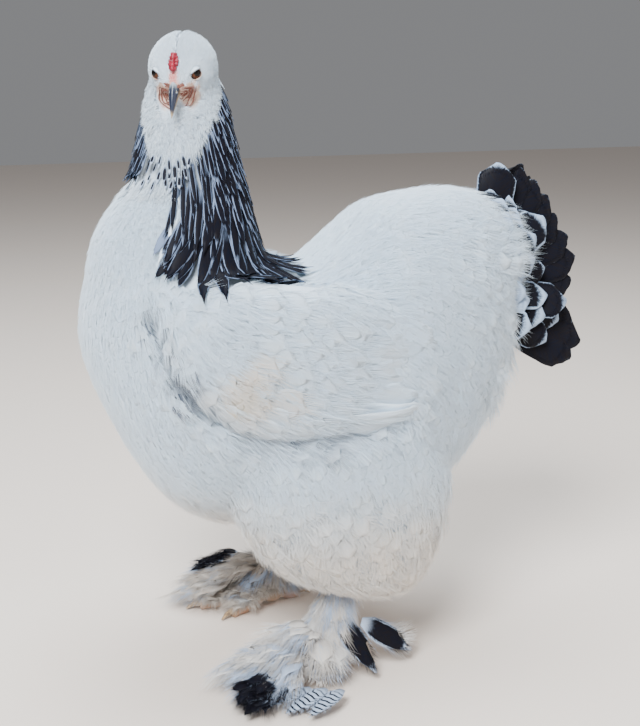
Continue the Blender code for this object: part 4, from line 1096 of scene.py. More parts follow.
def scatter(mesh, pitch, keep, seed):
    # roots spread over a mesh, no two closer than pitch(place), where keep(place) is true
    chance = np.random.default_rng(seed)
    mesh.calc_loop_triangles()
    corners = np.zeros(len(mesh.loop_triangles) * 3, dtype=np.int32)
    mesh.loop_triangles.foreach_get("vertices", corners)
    coords = np.zeros(len(mesh.vertices) * 3, dtype=np.float32)
    mesh.vertices.foreach_get("co", coords)
    corners, coords = corners.reshape(-1, 3), coords.reshape(-1, 3).astype(float)
    middles = [Vector(m) for m in coords[corners].mean(axis=1)]
    corners = corners[np.array([keep(m) for m in middles])]
    a, b, c = (coords[corners[:, k]] for k in range(3))
    areas = np.linalg.norm(np.cross(b - a, c - a), axis=1) / 2
    gaps = np.array([pitch(Vector(m)) for m in (a + b + c) / 3])
    wanted = areas / gaps ** 2
    picks = chance.choice(len(areas), size=int(wanted.sum() * scatterTries), p=wanted / wanted.sum())
    u, v = chance.random(len(picks)), chance.random(len(picks))
    flip = u + v > 1
    u[flip], v[flip] = 1 - u[flip], 1 - v[flip]
    points = a[picks] + (b - a)[picks] * u[:, None] + (c - a)[picks] * v[:, None]
    cell, cells, kept = float(gaps.max()), {}, []
    near = [(i, j, k) for i in (-1, 0, 1) for j in (-1, 0, 1) for k in (-1, 0, 1)]
    for point, gap in zip(points, gaps[picks]):
        place = Vector(point)
        key = tuple(int(c // cell) for c in place)
        spots = (other for i, j, k in near for other in cells.get((key[0] + i, key[1] + j, key[2] + k), ()))
        if all((other - place).length_squared >= gap * gap for other in spots):
            cells.setdefault(key, []).append(place)
            kept.append(place)
    return kept


def onWing(place, reach):
    side, full = -1 if place.y < 0 else 1, wingShape["fullness"]
    local, half = wingInverse[side] @ place, wingShape["half"]
    if local.y * side < -0.004:
        return False
    return (abs(local.x / half.x) ** full + abs(local.z / half.z) ** full) < reach ** full


def bounceLightAndCreamAt(place, chance):
    # painted warm bounce light from the floor, stronger low on the body, with a little random cream
    low = 0.50 * ease((0.27 - place.z) / 0.17)
    return min(0.62, low + chance.uniform(0, 0.08))


# Body coat
bodyCoat = {
    "pitch": 0.0088, "length": 0.036, "width": 0.027, "sink": 0.0050, "rise": 0.0007, "fall": 0.10,
    "top": 0.490, "rear": 0.228, "overWing": 0.0035, "foldWidth": 0.016, "spotWidth": 0.007,
    "thighTop": 0.235, "thighInside": 0.035, "breastRear": -0.05, "backLow": 0.30,
}
darkSpots = [Vector((-0.170, -0.088, 0.397)), Vector((-0.142, -0.107, 0.399))]


def fluffiness(place):
    # soft loose plumage: thighs, rear, belly and the back half of the cushion
    low = ease((0.245 - place.z) / 0.06)
    rear = ease((place.x - 0.09) / 0.09) * ease((0.49 - place.z) / 0.06)
    return max(low, rear)


def bodySize(place):
    small = mix(0.62, 1.0, ease((0.46 - place.z) / 0.08)) if place.x < 0.0 else 1.0
    return small * mix(1.0, 1.10, ease((place.x - 0.02) / 0.10))


def layBody():
    look, chance = bodyCoat, random.Random(21)
    coats = {name: Coat(f"coat_{name}", materials["body"]) for name in ("breast", "back", "thighs", "belly")}

    def keep(place):
        wingReach = mix(0.80, 0.62, ease((place.x - 0.03) / 0.03))
        if place.z > look["top"] or place.x > look["rear"] or onWing(place, wingReach):
            return False
        return not (place.x < -0.010 and capeMargin(place) > 6 and inCape(place, -0.007))

    for place in scatter(coatForm.data, lambda p: look["pitch"] * bodySize(p), keep, 5):
        soft, size = fluffiness(place), bodySize(place) * chance.uniform(0.86, 1.14)
        turned = Matrix.Rotation(math.radians(chance.gauss(0, 6 + 8 * soft)), 3, ground.over(place, 0)[1])
        heading = turned @ lieAt(place)
        rise = look["rise"] * chance.uniform(0.2, 1.6) * (1 + 2.2 * soft)
        rise += look["overWing"] if onWing(place, 0.95) else 0.0
        kind, length = "body", look["length"] * size
        if chance.random() < soft * 0.96:
            kind, length = ("plume", length * 1.05) if chance.random() < 0.50 else ("down", length * 0.95)
        spine, normals = drape(place, heading, length, look["sink"], rise, fall=look["fall"])
        tip, cream = spine[-1], bounceLightAndCreamAt(place, chance)
        gap = min(creaseGap(tip), creaseGap(place) + 0.002)
        if gap < look["foldWidth"]:  # slate undercolour and painted shade in the fold under the wing
            kind = "down" if chance.random() < 0.65 else kind
            slate = min(1.0, chance.uniform(0.5, 2.0) * (1 - gap / look["foldWidth"]))
            cream = -slate * ease((0.06 - place.x) / 0.06)
        if min((tip - spot).length for spot in darkSpots) < look["spotWidth"]:
            cream = -0.9
        mark = (chance.random(), 0.0, 0.0, cream)
        if place.z < look["thighTop"] and abs(place.y) > look["thighInside"]:
            target = coats["thighs"]
        elif place.x < look["breastRear"]:
            target = coats["breast"]
        else:
            target = coats["back"] if place.z > look["backLow"] else coats["belly"]
        patch, variant = bodyPatch(place), chance.randrange(3)
        target.add(kind, spine, normals, look["width"] * size, mark, patch, variant, size)
    for coat in coats.values():
        coat.write()


layBody()


saddleCoat = {
    "pitch": 0.0115, "length": (0.042, 0.054), "curl": -14, "width": 0.026, "sink": 0.006,
    "fluffPitch": 0.0105, "fluffLength": (0.026, 0.036),
}


def layPlumes():
    # loose plumes that stand out over the root of the tail, and fluff round it
    look, coat, chance = saddleCoat, Coat("coat_saddle", materials["body"]), random.Random(33)

    def onSaddle(place):
        return place.x > 0.105 and place.z > 0.405 and abs(place.y) < 0.092

    def aroundTail(place):
        return place.x > 0.178 and 0.255 < place.z < 0.460

    for place in scatter(coatForm.data, lambda p: look["pitch"], onSaddle, 12):
        back, normal = ease((place.x - 0.10) / 0.11), ground.over(place, 0)[1]
        aside = 0.10 * math.copysign(1, place.y) + chance.uniform(-0.14, 0.14)
        way = Vector((1, aside, mix(0.02, 0.16, back)))
        way = way - normal * way.dot(normal) * mix(0.95, 0.55, back) + normal * 0.08
        length = mix(*look["length"], back) * chance.uniform(0.7, 1.12)
        spine, normals = freeSpine(place - normal * look["sink"], way, normal, length, 5, look["curl"])
        mark = (chance.random(), 0.0, 0.0, chance.uniform(0, 0.12))
        coat.add("plume", spine, normals, look["width"], mark, bodyPatch(place), chance.randrange(3), 1.0)
    for place in scatter(coatForm.data, lambda p: look["fluffPitch"], aroundTail, 13):
        normal = ground.over(place, 0)[1]
        low = ease((0.40 - place.z) / 0.10)
        aside = 0.25 * math.copysign(1, place.y) + chance.uniform(-0.2, 0.2)
        way = Vector((0.8, aside, mix(0.0, -0.75, low)))
        way = way - normal * way.dot(normal) * 0.62
        length = mix(*look["fluffLength"], low) * chance.uniform(0.6, 1.4)
        curl = chance.uniform(-50, 8)
        spine, normals = freeSpine(place - normal * look["sink"], way, normal, length, 4, curl)
        mark = (chance.random(), 0.0, 0.0, chance.uniform(0, 0.14))
        kind = "plume" if chance.random() < 0.7 else "down"
        coat.add(kind, spine, normals, look["width"], mark, bodyPatch(place), chance.randrange(3), 1.0)
    coat.write()


layPlumes()


# Head
headCoat = {
    "pitch": 0.00135, "length": 0.0074, "width": 0.0030, "sink": 0.0008, "rise": 0.0007, "parting": 0.0010,
    "eyeGap": 0.0068, "lidTries": 420, "lidLength": 0.0046, "lidWidth": 0.0022,
}


def headLie(local):
    # back from the beak over the crown, and back and down over cheek and throat, in the head's own frame
    low = ease((0.006 - local.z) / 0.022)
    outward = 0.32 * ease(1 - abs(local.y) / 0.012) * ease((local.z - 0.018) / 0.01)
    return Vector((-1.0, outward if local.y > 0 else -outward, mix(0.0, -1.0, low))).normalized()


def onComb(local):
    return abs(local.y) < 0.0058 and local.x > 0.0200 and local.z > 0.0180


lidLook = {  # each lid covers the eye from its height up along its own way
    "radius": 0.0063, "rim": 0.0006, "middle": Vector((0.62, 0.55, 0.50)),
    "upper": (Vector((-0.45, -0.58, 0.62)).normalized(), 0.0000),
    "lower": (Vector((-0.15, 0.30, -0.92)).normalized(), 0.0030),
}


def slantGap(spot, place):
    # how far a spot is outside the slanted opening of the eye, below 0 within it
    side, edges = math.copysign(1, place.y), (lidLook["upper"], lidLook["lower"])
    return max((spot - place).dot(onSide(way, side)) - height for way, height in edges)


def layHead():
    look, coat, chance = headCoat, Coat("coat_head", materials["small"]), random.Random(8)
    eyes, turned = list(eyePlaces.values()), headMatrix.to_3x3()

    def keep(place):
        if place.z < 0.545 + chance.uniform(0, 0.03):
            return False
        local = headInverse @ place
        if min((local - eye).length for eye in eyes) < look["eyeGap"]:
            return False
        if chance.random() < bareness(local) * 1.4 - 0.4:
            return False
        return not onComb(local) and blackness(place) < 0.6

    for place in scatter(coatForm.data, lambda p: look["pitch"] * mix(1.4, 1.0, headness(p)), keep, 6):
        local = headInverse @ place
        near = min([(local - eye).length for eye in eyes] + [(local - bareLook["beakRoot"]).length])
        size = mix(0.50, 1.0, ease((near - 0.006) / 0.020)) * mix(1.5, 1.0, headness(place))
        size *= chance.uniform(0.85, 1.15)
        way = headLie(local)
        for eye in eyes:  # they part round the eyes
            gap = local - eye
            way = way + gap.normalized() * 1.8 * (1 - ease((gap.length - look["eyeGap"]) / 0.0060))
        loose = ease((-0.004 - local.x) / 0.022)
        length = look["length"] * size * mix(1.0, 1.5, loose)
        rise = look["rise"] * chance.uniform(0.2, 1.7) * mix(1.0, 3.0, loose)
        rise -= look["parting"] * (1 - ease(abs(local.y) / 0.0030)) * ease((local.z - 0.01) / 0.01)
        spine, normals = drape(place, turned @ way, length, look["sink"], rise, steps=2)
        # painted shade: the tufts in the groove of the parting are slate
        parting = abs(local.y) < 0.0008 and local.z > 0.020 and local.x > -0.020
        mark = (chance.random(), 0.0, 0.0, -0.55 if parting else chance.uniform(0.0, 0.2))
        patch, variant = headPatch(local), chance.randrange(3)
        coat.add("crown", spine, normals, look["width"] * size, mark, patch, variant, size)
    for place in eyes:  # the smallest ones, close together over each lid
        middle = onSide(lidLook["middle"], math.copysign(1, place.y)).normalized()
        for _ in range(look["lidTries"]):
            outward = Vector((chance.gauss(0, 1), chance.gauss(0, 1), chance.gauss(0, 1))).normalized()
            local = place + outward * (lidLook["radius"] - 0.0002)
            if outward.dot(middle) < -0.1 or slantGap(local, place) < 0.0010:
                continue
            way = (outward - middle * outward.dot(middle)).normalized() + Vector((-0.4, 0, 0))
            way = turned @ (way - outward * way.dot(outward))
            spine, normals = freeSpine(headMatrix @ local, way, turned @ outward, look["lidLength"], 2, -22)
            mark = (chance.random(), 0.0, 0.0, chance.uniform(-0.3, 0.2))
            patch, variant = headPatch(local), chance.randrange(3)
            coat.add("crown", spine, normals, look["lidWidth"], mark, patch, variant, 1.0)
    coat.write()


layHead()


# Neck: white throat and laced cape
cape = {
    "rows": 17, "top": 0.598, "low": 0.440, "sink": 0.0030, "rise": 0.0050, "fall": 0.25, "overlap": 0.66,
    "length": (0.020, 0.088), "width": (0.0058, 0.0170), "shortest": 0.010, "tries": 9, "shrink": 0.86,
    "slacks": (-0.012, -0.006, 0.0, 0.004, 0.010),
}
capeSweep = curveThrough([(0, 1.0), (55, 0.10), (85, -0.20), (108, -0.85), (125, -0.75), (180, -0.3)], 1)


def layCape():
    coat, chance = Coat("coat_cape", materials["hackle"]), random.Random(14)
    for row in range(cape["rows"]):
        t = row / (cape["rows"] - 1)
        z = mix(cape["top"], cape["low"], t ** 1.1)
        length, width = mix(*cape["length"], t ** 1.1), mix(*cape["width"], t ** 1.2)
        near, far = min(180, capeNear(z) + 4), min(180, capeFar(z) + 4)
        around = math.radians(near + far) * (neckCurves[1](z) + 0.004)
        count = max(6, int(around / (width * cape["overlap"])))
        for k in range(count):
            away = mix(-near, far, (k + 0.5 * (row % 2) + chance.uniform(-0.25, 0.25)) / count)
            root = neckPoint(z + chance.uniform(-0.003, 0.003), nape(z) + away)
            sweep = capeSweep(abs(away)) * ease((0.52 - z) / 0.06)
            heading = Vector((sweep + chance.uniform(-0.10, 0.10), 0, -1))
            size = length * chance.uniform(0.84, 1.14)
            slim = mix(1.0, 0.50, ease((abs(away) - 115) / 30))
            slack = chance.choice(cape["slacks"]) * ease((0.50 - z) / 0.03)
            for _ in range(cape["tries"]):  # made shorter until its tip lies inside the border
                rise = cape["rise"] * chance.uniform(0.4, 1.2) * mix(0.5, 1, t)
                spine, normals = drape(root, heading, size, cape["sink"], rise, steps=6, fall=cape["fall"])
                if inCape(spine[-1], slack):
                    break
                size *= cape["shrink"]
            if not inCape(spine[-1], slack) or size < cape["shortest"]:
                continue
            dark = blackness(root)
            if (spine[-1] - spine[0]).length < 0.7 * size or (dark <= 0.05 and z < 0.48):
                continue
            lace = mix(1.5, mix(1.05, 0.72, t), ease(dark * 1.6)) * chance.uniform(0.60, 1.35)
            mark = (chance.random(), 1.0 if dark > 0.05 else 0.0, lace, chance.uniform(0, 0.1))
            broad = width * slim * chance.uniform(0.85, 1.1) * (size / length) ** 0.5
            coat.add("hackle", spine, normals, broad, mark, neckPatch(root), chance.randrange(3), 0.8)
    coat.write()


throatCoat = {"pitch": 0.0024, "length": 0.0115, "width": 0.0058, "sink": 0.0018, "rise": 0.0014}
borderCoat = {"pitch": 0.0058, "length": 0.015, "width": 0.0040, "sink": -0.0008, "rise": 0.0032}


def layThroat():
    coat, chance = Coat("coat_throat", materials["small"]), random.Random(15)

    def keep(place):
        top, low = 0.590 - chance.uniform(0, 0.03), 0.486 + chance.uniform(0, 0.012)
        if not (low < place.z < top and place.x < -0.03 and blackness(place) < 0.36):
            return False
        return bareness(headInverse @ place) < 0.3

    def onBorder(place):
        return 0.499 < place.z < 0.523 and abs(fromNape(place)) > 100 and blackness(place) < 0.85

    look = throatCoat
    for place in scatter(coatForm.data, lambda p: look["pitch"], keep, 9):
        size = mix(1.5, 0.75, ease((place.z - 0.48) / 0.08)) * chance.uniform(0.8, 1.25)
        heading = Vector((chance.uniform(-0.3, 0.3), chance.uniform(-0.3, 0.3), -1))
        rise = look["rise"] * chance.uniform(0.1, 1.5)
        spine, normals = drape(place, heading, look["length"] * size, look["sink"], rise, steps=3)
        mark = (chance.random(), 0.0, 0.0, chance.uniform(0.0, 0.2))
        patch, variant = neckPatch(place), chance.randrange(3)
        coat.add("throat", spine, normals, look["width"] * size, mark, patch, variant, size)
    look = borderCoat  # small dark ones where throat and breast meet
    for place in scatter(coatForm.data, lambda p: look["pitch"], onBorder, 10):
        heading = Vector((chance.uniform(-0.2, 0.2), 0, -1))
        length = look["length"] * chance.uniform(0.7, 1.3)
        spine, normals = drape(place, heading, length, look["sink"], look["rise"], steps=3)
        mark = (chance.random(), 1.0, chance.uniform(0.6, 1.2), 0.0)
        width = look["width"] * chance.uniform(0.7, 1.2)
        coat.add("hackle", spine, normals, width, mark, neckPatch(place), chance.randrange(3), 0.5)
    coat.write()


layCape()
layThroat()


# Wings
wingRows = [  # share along, high and low share across, number, length, width, drop above and below, kind
    (0.42, -0.30, -0.76, 6, 0.100, 0.024, -4, -10, "quill"),
    (0.32, 0.60, -0.66, 11, 0.104, 0.034, -4, -6, "quill"),
    (0.14, 0.66, -0.74, 12, 0.074, 0.034, 0, 6, "covert"),
    (-0.05, 0.72, -0.80, 13, 0.060, 0.034, 4, 14, "covert"),
    (-0.22, 0.76, -0.84, 13, 0.052, 0.032, 6, 20, "covert"),
    (-0.38, 0.78, -0.84, 13, 0.046, 0.030, 8, 26, "covert"),
    (-0.52, 0.76, -0.80, 13, 0.042, 0.028, 10, 30, "body"),
    (-0.65, 0.70, -0.70, 12, 0.038, 0.027, 12, 34, "body"),
    (-0.77, 0.60, -0.58, 11, 0.036, 0.026, 14, 38, "body"),
    (-0.87, 0.46, -0.44, 9, 0.034, 0.025, 16, 40, "body"),
]


wingLook = {"stain": Vector((-0.108, 0.136, 0.318)), "stainRadius": 0.050, "sink": 0.0040,
            "rise": (0.0008, 0.0020), "step": 0.0001}


def layWing(name, side):
    coat = Coat(f"wing_feathers_{name}", materials["body"])
    chance = random.Random(30 + side)
    matrix, half, full = wingMatrix[side], wingShape["half"], wingShape["fullness"]
    for row, (along, high, low, count, length, width, dropHigh, dropLow, kind) in enumerate(wingRows):
        for k in range(count):
            t = k / (count - 1)
            across = mix(high, low, t) + chance.uniform(-0.05, 0.05)
            back = along - 0.12 * across * across + chance.uniform(-0.06, 0.06)
            out = math.sqrt(max(0.0, 1 - min(1.0, abs(back) ** full + abs(across) ** full)))
            root = matrix @ Vector((back * half.x, side * out * half.y, across * half.z))
            if creaseGap(root) < 0.010:
                continue
            tilt = math.radians(mix(dropHigh, dropLow, t) + chance.uniform(-7, 7))
            heading = matrix.to_3x3() @ Vector((math.cos(tilt), 0, -math.sin(tilt)))
            size = chance.uniform(0.86, 1.14)
            rise = mix(*wingLook["rise"], ease(t * 1.5 - 0.4)) + wingLook["step"] * (len(wingRows) - row)
            rise *= chance.uniform(0.7, 1.3)
            spine, normals = drape(root, heading, length * size, wingLook["sink"], rise, steps=6)
            near = (root - onSide(wingLook["stain"], side)).length
            stain = chance.uniform(0.0, 1.1) * (1 - ease(near / wingLook["stainRadius"])) if side < 0 else 0.0
            mark = (chance.random(), 0.0, 0.0, max(stain, bounceLightAndCreamAt(root, chance)))
            coat.add(kind, spine, normals, width * size, mark, bodyPatch(root), chance.randrange(3), 1.0)
    coat.write(f"wing_{name}")


for name, side in sides.items():
    layWing(name, side)


# Tail
tailRows = {
    "number": 11, "spread": (5.0, 26.0), "width": 0.043, "curl": -16,
    "innerNumber": 7, "innerSpread": (2, 10), "innerLength": 0.074, "innerCurl": -10,
}
tailPitch = curveThrough([(0.0, 68), (0.45, 22), (0.72, -6), (0.86, -17), (1.0, -26)], 1)
tailLength = curveThrough([(0.0, 0.090), (0.18, 0.092), (0.45, 0.096), (0.62, 0.086), (0.74, 0.076),
                           (0.86, 0.104), (1.0, 0.094)], 1)
tailCoverts = [  # high and low pitch, number a side, length, width, spread above and below, forward, lace
    (80, -18, 9, 0.070, 0.036, 8, 34, 0.004, 0.22),
    (78, -14, 8, 0.064, 0.034, 18, 44, -0.004, 0.40),
    (72, -10, 8, 0.054, 0.030, 28, 54, -0.012, 0.55),
    (66, -6, 7, 0.046, 0.026, 38, 62, -0.018, 0.85),
]


def fanHeading(pitch, spread, side):
    pitch, yaw = math.radians(pitch), math.radians(spread)
    outward = side * math.sin(yaw) * (0.5 + 0.5 * math.cos(pitch))
    return Vector((math.cos(pitch) * math.cos(yaw), outward, math.sin(pitch))).normalized()


def layTail():
    coat, chance = Coat("tail_feathers", materials["tail"]), random.Random(3)
    look, middle = tailRows, tailShape["middle"]
    for side in (-1, 1):
        for k in range(look["number"]):
            t = k / (look["number"] - 1)
            heading = fanHeading(tailPitch(t), mix(*look["spread"], t), side)
            root = middle + Vector((0.012, side * mix(0.004, 0.026, t), mix(0.034, -0.046, t)))
            flat = Vector((-0.15, side, mix(0.75, 0.20, t)))
            length = tailLength(t) * chance.uniform(0.97, 1.03)
            spine, normals = freeSpine(root, heading, flat, length, 8, look["curl"])
            mark = (chance.random(), 1.0, 0.0, 0.0)
            patch = (0.5 + 0.4 * side * (0.2 + 0.8 * t), 0.9 - 0.2 * t)
            coat.add("tail", spine, normals, look["width"], mark, patch, k, 1.0)
        for k in range(look["innerNumber"]):  # and a second layer inside, nearer the middle
            t = (k + 0.5) / look["innerNumber"]
            heading = fanHeading(tailPitch(t) - 4, mix(*look["innerSpread"], t), side)
            root = middle + Vector((0.004, side * mix(0.002, 0.012, t), mix(0.030, -0.040, t)))
            flat = Vector((-0.15, side, 0.4))
            spine, normals = freeSpine(root, heading, flat, look["innerLength"], 8, look["innerCurl"])
            mark = (chance.random(), 1.0, 0.0, 0.0)
            coat.add("tail", spine, normals, look["width"], mark, (0.5 + 0.1 * side, 0.5 - 0.2 * t), k, 1.0)
        for row, (high, low, count, length, width, *spreads, forward, lace) in enumerate(tailCoverts):
            for k in range(count):
                t = (k + 0.5) / count
                pitch = mix(high, low, t) + chance.uniform(-11, 11)
                heading = fanHeading(pitch, mix(*spreads, t) + chance.uniform(-8, 8), side)
                across = mix(0.012 + 0.006 * row, 0.034 + 0.006 * row, t)
                root = middle + Vector((forward, side * across, mix(0.046, -0.046, t)))
                flat = Vector((-0.15, side, mix(0.75, 0.20, t)))
                size = chance.uniform(0.80, 1.18)
                twist = chance.uniform(-30, 30)
                spine, normals = freeSpine(root, heading, flat, length * size, 8, -26 - 8 * row, twist=twist)
                mark = (chance.random(), 1.0, lace * chance.uniform(0.3, 1.8), 0.0)
                patch = (0.5 + 0.4 * side * (0.2 + 0.8 * t), 0.6 - 0.15 * row)
                coat.add("tail", spine, normals, width * size, mark, patch, k, 0.8)
    coat.write("tail")


layTail()


# Legs, toes and foot feathers
def bearingWay(bearing, side):
    angle = math.radians(bearing)
    return Vector((-math.cos(angle), side * math.sin(angle), 0))


def toePlaces(foot, bearing, length, side):
    way, height = bearingWay(bearing, side), footShape["toeRadius"] * 0.72
    start = foot + Vector((0, 0, height * 1.5))
    arch = [(0.0, 0.010), (0.34, 0.006), (0.68, 0.001), (1.0, -0.0005)]
    return [start + way * (length * share) + Vector((0, 0, rise - 0.5 * height)) for share, rise in arch]


def smoothLine(places, count):
    # a denser run of points through a few
    line = []
    for k in range(count):
        t = k / (count - 1) * (len(places) - 1)
        i = min(int(t), len(places) - 2)
        before, after = places[max(i - 1, 0)], places[min(i + 2, len(places) - 1)]
        f = t - i
        a, b = places[i], places[i + 1]
        va, vb = (b - before) / 2, (after - a) / 2
        line.append(a * (2 * f ** 3 - 3 * f * f + 1) + va * (f ** 3 - 2 * f * f + f)
                    + b * (3 * f * f - 2 * f ** 3) + vb * (f ** 3 - f * f))
    return line


def buildFoot(name, side):
    foot, turn = footShape["feet"][name]
    radius, low, high = footShape["toeRadius"], foot + footShape["middle"], foot + footShape["hock"]
    bm = bmesh.new()
    shank = smoothLine([foot + footShape["ankle"], low, (low + high) / 2, high], 10)
    addTube(bm, shank, footShape["shankRadii"], 20)
    addBall(bm, foot + Vector((0.002, 0, 0.014)), (0.015, 0.013, 0.0135), 24)
    for bearing, length in footShape["toes"].values():
        line = smoothLine(toePlaces(foot, bearing + turn, length, side), 13)
        radii = [radius * mix(1.12, 0.72, t / 12) * (1 + 0.10 * math.cos(t * math.pi / 2)) for t in range(13)]
        addTube(bm, line, radii, 16)
    bmesh.ops.recalc_face_normals(bm, faces=bm.faces[:])
    piece = melt(meshPiece(f"foot_{name}", bm), 0.0013, 4)
    bm = bmesh.new()
    bm.from_mesh(piece.data)
    for vert in bm.verts:
        vert.co.z = max(vert.co.z, 0.0)
    for bearing, length in footShape["toes"].values():  # the scutes along each toe
        line = smoothLine(toePlaces(foot, bearing + turn, length, side), 17)
        for k in range(2, 16):
            t = k / 16
            way = (line[min(k + 1, 16)] - line[k - 1]).normalized()
            wide = radius * mix(1.0, 0.62, t)
            turnTo = Matrix.Rotation(math.atan2(way.y, way.x), 4, "Z")
            spot = line[k] + Vector((0, 0, radius * mix(0.98, 0.60, t) * 0.98))
            addBall(bm, spot, (length / 26, wide * 0.86, footShape["scuteHeight"]), 10, turnTo)
    bm.to_mesh(piece.data)
    bm.free()
    reskin(piece, materials["scute"])
    return settle(piece)


footLook = {
    "cream": {"left": (0.0, 0.30), "right": (0.88, 1.0)}, "floor": 0.0040,
    "shankRows": 11, "shankRound": 14,
    "skirt": [(0.082, 1.3, 0.058), (0.066, 0.9, 0.072), (0.050, 0.6, 0.080)], "skirtRound": 9,
    "fan": {"left": (-14, 44), "right": (2, 62)}, "fanNumber": 84, "outerNumber": 16,
    "toes": {"middle": 40, "inner": 40, "outer": 16, "hind": 14},
    "tuft": {"left": (37, 0.098, 0.019), "right": (47, 0.066, 0.038)}, "tuftNumber": 44,
    "behind": [  # root, heading and flat side, then length, width, curl and lace
        ((0.016, 0.014, 0.064), (0.032, 0.034, -0.052), (0.4, 1.0, 0.6), 0.082, 0.032, -6, 0.45),
        ((0.044, 0.014, 0.052), (0.052, 0.010, -0.034), (0.2, 1.0, 0.8), 0.076, 0.030, -10, 0.60)],
}


def layFoot(name, side):
    coat, chance = Coat(f"foot_feathers_{name}", materials["foot"]), random.Random(50 + side)
    look, (foot, turn) = footLook, footShape["feet"][name]
    ankle, middle, hock = footShape["ankle"], footShape["middle"], footShape["hock"]

    def put(kind, root, heading, flat, length, width, curl, dark, lace, twist=20):
        low, twist = look["floor"] + chance.uniform(0, 0.004), chance.uniform(-twist, twist)
        spine, normals = freeSpine(root, heading, flat, length, 8, curl, low, twist)
        local = root - foot
        patch = (0.5 + 0.9 * local.y + 0.3 * local.z, 0.5 - 0.9 * local.x)
        tone = chance.uniform(*look["cream"][name])
        if side > 0 and chance.random() < 0.08:
            tone = -0.5 * tone
        mark = (chance.random(), dark, lace, tone)
        coat.add(kind, spine, normals, width, mark, patch, chance.randrange(3), 1.0)

    def darkOne(share):
        return 1.0 if chance.random() < share else 0.0

    def shank(height):
        if height < middle.z:
            return foot + mix(ankle, middle, (height - ankle.z) / (middle.z - ankle.z))
        return foot + mix(middle, hock, (height - middle.z) / (hock.z - middle.z))

    for row in range(look["shankRows"]):  # plumes round the shank
        t = row / (look["shankRows"] - 1)
        for k in range(look["shankRound"]):
            place = k + 0.5 * (row % 2) + chance.uniform(-0.3, 0.3)
            way, dark = bearingWay(360 * place / look["shankRound"], side), darkOne(0.42)
            root = shank(mix(0.130, 0.040, t)) + way * 0.010
            heading, length = way * mix(0.22, 0.62, t) - skyward, chance.uniform(0.032, 0.046)
            put("plume", root, heading, way, length, 0.017, chance.uniform(-14, 26), dark, 1.9)
    for height, drop, length in look["skirt"]:
        for k in range(look["skirtRound"]):  # a skirt in front and outside
            bearing = mix(-20, 84, (k + chance.uniform(0.2, 0.8)) / look["skirtRound"]) + turn
            way, dark = bearingWay(bearing, side), darkOne(0.32)
            root, size = shank(height) + way * 0.010, length * chance.uniform(0.8, 1.05)
            put("foot", root, way - skyward * drop, way * drop + skyward, size, 0.023, -34, dark, 1.5)
    for k in range(look["fanNumber"]):  # the long feathers over the toes
        t = k / (look["fanNumber"] - 1)
        bearing = chance.uniform(*look["fan"][name]) + turn
        root = foot + bearingWay(bearing, side) * mix(0.006, 0.074, t ** 0.9)
        root.z = mix(0.044, 0.012, t) + chance.uniform(0, 0.008)
        way = bearingWay(mix(bearing, 10, 0.25) + chance.uniform(-26, 26), side)
        way = way + skyward * mix(0.25, 0.10, t)
        dark, kind = darkOne(mix(0.16, 0.55, t)), "foot" if chance.random() < 0.5 else "plume"
        length = mix(0.056, 0.066, t) * chance.uniform(0.75, 1.06)
        put(kind, root, way, skyward, length, 0.022, chance.uniform(-80, -40), dark, 2.1)
    for k in range(look["outerNumber"]):  # broad ones on the outer side
        way = bearingWay(chance.uniform(44, 92) + turn, side)
        root = foot + way * chance.uniform(0.010, 0.030) + skyward * chance.uniform(0.024, 0.050)
        dark, length = darkOne(0.35), chance.uniform(0.048, 0.064)
        put("foot", root, way - skyward * 0.35, way * 0.4 + skyward, length, 0.027, -40, dark, 1.2)
    for toe, many in look["toes"].items():  # soft short plumes along the toes
        toeBearing, toeLength = footShape["toes"][toe]
        line = smoothLine(toePlaces(foot, toeBearing + turn, toeLength, side), 12)
        for k in range(many):
            t = (k + 0.5) / many * (0.86 if toe == "middle" else 0.80)
            way = bearingWay(toeBearing + turn + chance.choice((-1, 1)) * chance.uniform(10, 80), side)
            root, way = line[int(t * 11)] + skyward * 0.005, way + skyward * chance.uniform(0.3, 0.9)
            put("plume", root, way, skyward, chance.uniform(0.018, 0.034), 0.018, -90, darkOne(0.1), 1.6)
    bearing, away, height = look["tuft"][name]
    for k in range(look["tuftNumber"]):  # a tuft of black ones over the outer toe
        t, ahead = k / (look["tuftNumber"] - 1), bearingWay(bearing, side)
        spread = ahead * mix(-0.022, 0.010, t) + ahead.cross(skyward) * chance.uniform(-0.015, 0.015)
        lift = height + mix(0.006, -0.006, t) + chance.uniform(0, 0.005)
        root = foot + ahead * away + spread + skyward * lift
        way = bearingWay(bearing + chance.uniform(-48, 48), side) + skyward * chance.uniform(-0.15, 0.25)
        kind, length, dark = "plume" if k % 4 else "leaf", chance.uniform(0.020, 0.036), darkOne(0.94)
        put(kind, root, way, skyward, length, 0.013, -46, dark, chance.uniform(0.0, 0.15), twist=60)
    for k in range(3):  # barred ones under it
        root = foot + Vector((mix(-0.002, -0.030, k / 2), side * mix(0.076, 0.062, k / 2), 0.016))
        way = Vector((-1.0, side * mix(0.55, 0.15, k / 2), -0.04))
        put("leaf", root, way, skyward, 0.060, 0.022, -22, 1.0, -1.0)
    for root, heading, flat, length, width, curl, lace in look["behind"]:  # broad black ones with white edges
        root, heading, flat = (onSide(Vector(spot), side) for spot in (root, heading, flat))
        put("leaf", foot + root, heading, flat, length, width, curl, 1.0, lace, twist=4)
    for k in range(3):  # pale ones behind that curl up
        root = foot + Vector((0.070 + 0.004 * k, side * (0.004 - 0.006 * k), 0.026))
        way = Vector((1.0, side * 0.20, -0.30 - 0.1 * k))
        put("foot", root, way, Vector((0, side, 0.7)), 0.052, 0.026, 84 + 12 * k, 0.0, 0.0, twist=4)
    coat.write()


for name, side in sides.items():
    flesh = buildFoot(name, side)
    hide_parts(f"leg_{name}")
    layFoot(name, side)
    for toe in footShape["toes"]:
        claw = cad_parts[f"claw_{name}_{toe}"]
        for slot in claw.material_slots:
            slot.material = materials["claw"]
print("feet made")


